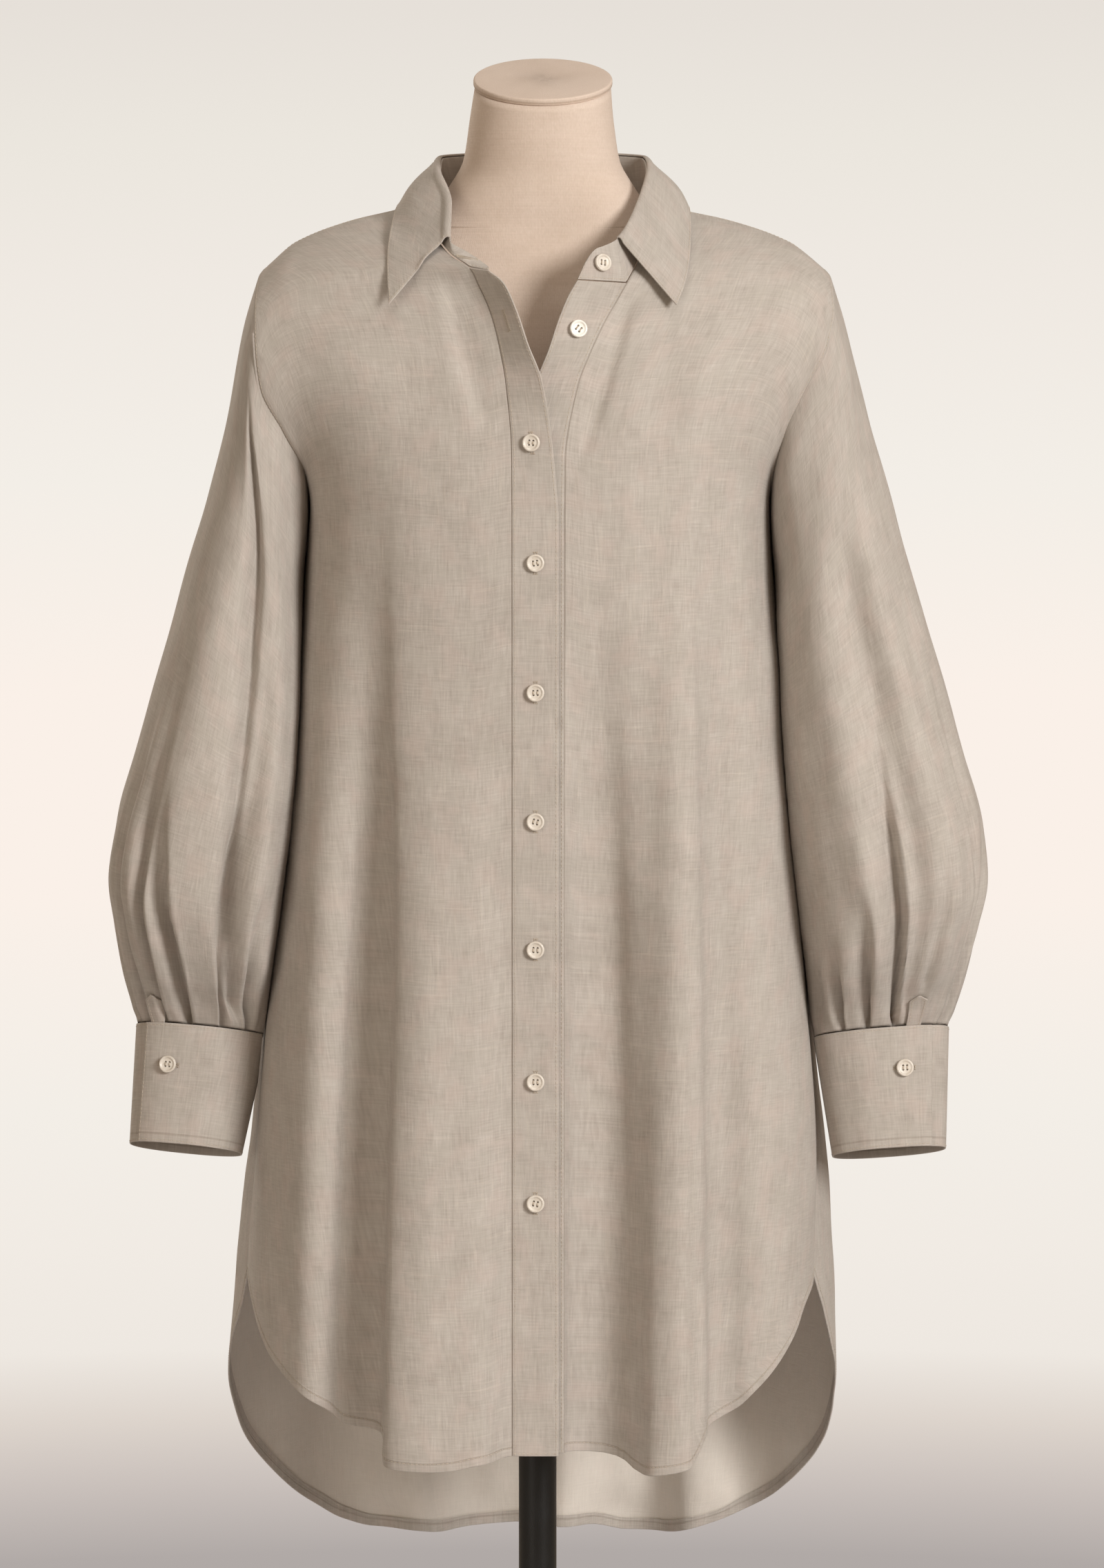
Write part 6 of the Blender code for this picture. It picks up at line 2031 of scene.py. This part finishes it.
def make_stage(settings):
    """The floor, the backdrop, the lights and the camera."""
    stage = settings.stage
    near = Finish("near floor", Roughness=0.75, Specular_IOR_Level=0.2)
    grain = near.noise(near.place(), scale=90.0, detail=4.0)
    tone = near.mixed(linear(*FLOOR_DARK), linear(*FLOOR_PALE), grain)
    near.done(Base_Color=tone, Normal=near.bump(grain * 0.0002))
    # The far floor and the backdrop glow: painted light, darker towards the middle of the floor and higher
    # up the backdrop
    far_glow = glow("far floor", radius_of, FLOOR_GLOW, WALL_RADIUS)
    wall_glow = glow("backdrop", height_of, WALL_GLOW, WALL_HEIGHT)
    floor = ring_mesh("floor", ((FLOOR_NEAR, 0.0), (FLOOR_INNER, 0.0)), near.material)
    far = ring_mesh("far_floor", ((WALL_RADIUS, 0.0), (FLOOR_NEAR, 0.0)), far_glow)
    wall = ring_mesh("backdrop", ((WALL_RADIUS, WALL_HEIGHT), (WALL_RADIUS, 0.0)), wall_glow)
    for piece in (far, wall):
        piece.visible_diffuse = False
        piece.visible_glossy = False
        piece.visible_shadow = False

    world = bpy.data.worlds.new("studio")
    world.use_nodes = True
    sky = world.node_tree.nodes["Background"]
    sky.inputs["Color"].default_value = (*stage.walls, 1.0)
    sky.inputs["Strength"].default_value = stage.sky
    bpy.context.scene.world = world
    for row in LAMPS:
        area_light(row.name, row.place, row.size, getattr(stage, row.power), getattr(stage, row.colour))

    camera = bpy.data.objects.new("camera", bpy.data.cameras.new("camera"))
    camera.data.sensor_fit = "VERTICAL"
    camera.data.sensor_height = CAMERA_SENSOR
    camera.data.lens = CAMERA_LENS
    tilt = math.radians(CAMERA_TILT)
    camera.location = (
        CAMERA_AIM[0],
        -CAMERA_FAR * math.cos(tilt),
        CAMERA_AIM[1] + CAMERA_FAR * math.sin(tilt),
    )
    camera.rotation_euler = (math.radians(90) - tilt, 0.0, 0.0)
    bpy.context.scene.collection.objects.link(camera)
    bpy.context.scene.camera = camera
    bpy.context.scene.view_settings.view_transform = "Standard"


class DressOperator:
    """What the operators share."""

    bl_options = {"REGISTER", "UNDO"}

    def execute(self, context):
        type(self).make(context.scene.shirt_dress)
        return {"FINISHED"}


class SHIRTDRESS_OT_body(DressOperator, bpy.types.Operator):
    """Make the fronts, the back and the front bands"""

    bl_idname = "shirt_dress.body"
    bl_label = "Body"
    make = staticmethod(make_body)


class SHIRTDRESS_OT_collar(DressOperator, bpy.types.Operator):
    """Make the collar's stand and leaf"""

    bl_idname = "shirt_dress.collar"
    bl_label = "Collar"
    make = staticmethod(make_collar)


class SHIRTDRESS_OT_sleeves(DressOperator, bpy.types.Operator):
    """Make the sleeves, their plackets and their cuffs"""

    bl_idname = "shirt_dress.sleeves"
    bl_label = "Sleeves"
    make = staticmethod(make_sleeves)


class SHIRTDRESS_OT_buttons(DressOperator, bpy.types.Operator):
    """Make the buttons and the buttonholes"""

    bl_idname = "shirt_dress.buttons"
    bl_label = "Buttons"
    make = staticmethod(make_buttons)


class SHIRTDRESS_OT_form(DressOperator, bpy.types.Operator):
    """Make the padded dress form"""

    bl_idname = "shirt_dress.form"
    bl_label = "Dress form"
    make = staticmethod(make_form)


class SHIRTDRESS_OT_stand(DressOperator, bpy.types.Operator):
    """Make the stand under the dress form"""

    bl_idname = "shirt_dress.stand"
    bl_label = "Stand"
    make = staticmethod(make_stand)


class SHIRTDRESS_OT_stage(DressOperator, bpy.types.Operator):
    """Make the floor, the backdrop, the lights and the camera"""

    bl_idname = "shirt_dress.stage"
    bl_label = "Stage"
    make = staticmethod(make_stage)


class SHIRTDRESS_PT_panel(bpy.types.Panel):
    """The shirt dress in the sidebar"""

    bl_label = "Shirt dress"
    bl_space_type = "VIEW_3D"
    bl_region_type = "UI"
    bl_category = "Shirt dress"

    def draw(self, context):
        for operator in OPERATORS:
            self.layout.operator(operator.bl_idname)
        for name in DressSettings.__annotations__:
            box = self.layout.box()
            group = getattr(context.scene.shirt_dress, name)
            for setting in type(group).__annotations__:
                box.prop(group, setting)


GROUPS = (ClothSettings, SewingSettings, ButtonSettings, FormSettings, StageSettings, DressSettings)
OPERATORS = (
    SHIRTDRESS_OT_stage,
    SHIRTDRESS_OT_stand,
    SHIRTDRESS_OT_form,
    SHIRTDRESS_OT_body,
    SHIRTDRESS_OT_collar,
    SHIRTDRESS_OT_sleeves,
    SHIRTDRESS_OT_buttons,
)


def register():
    for kind in (*GROUPS, *OPERATORS, SHIRTDRESS_PT_panel):
        bpy.utils.register_class(kind)
    bpy.types.Scene.shirt_dress = bpy.props.PointerProperty(type=DressSettings)


def unregister():
    del bpy.types.Scene.shirt_dress
    for kind in reversed((*GROUPS, *OPERATORS, SHIRTDRESS_PT_panel)):
        bpy.utils.unregister_class(kind)


def main():
    register()
    bpy.ops.shirt_dress.stage()
    bpy.ops.shirt_dress.stand()
    bpy.ops.shirt_dress.form()
    bpy.ops.shirt_dress.body()
    bpy.ops.shirt_dress.collar()
    bpy.ops.shirt_dress.sleeves()
    bpy.ops.shirt_dress.buttons()


if __name__ == "__main__":
    main()
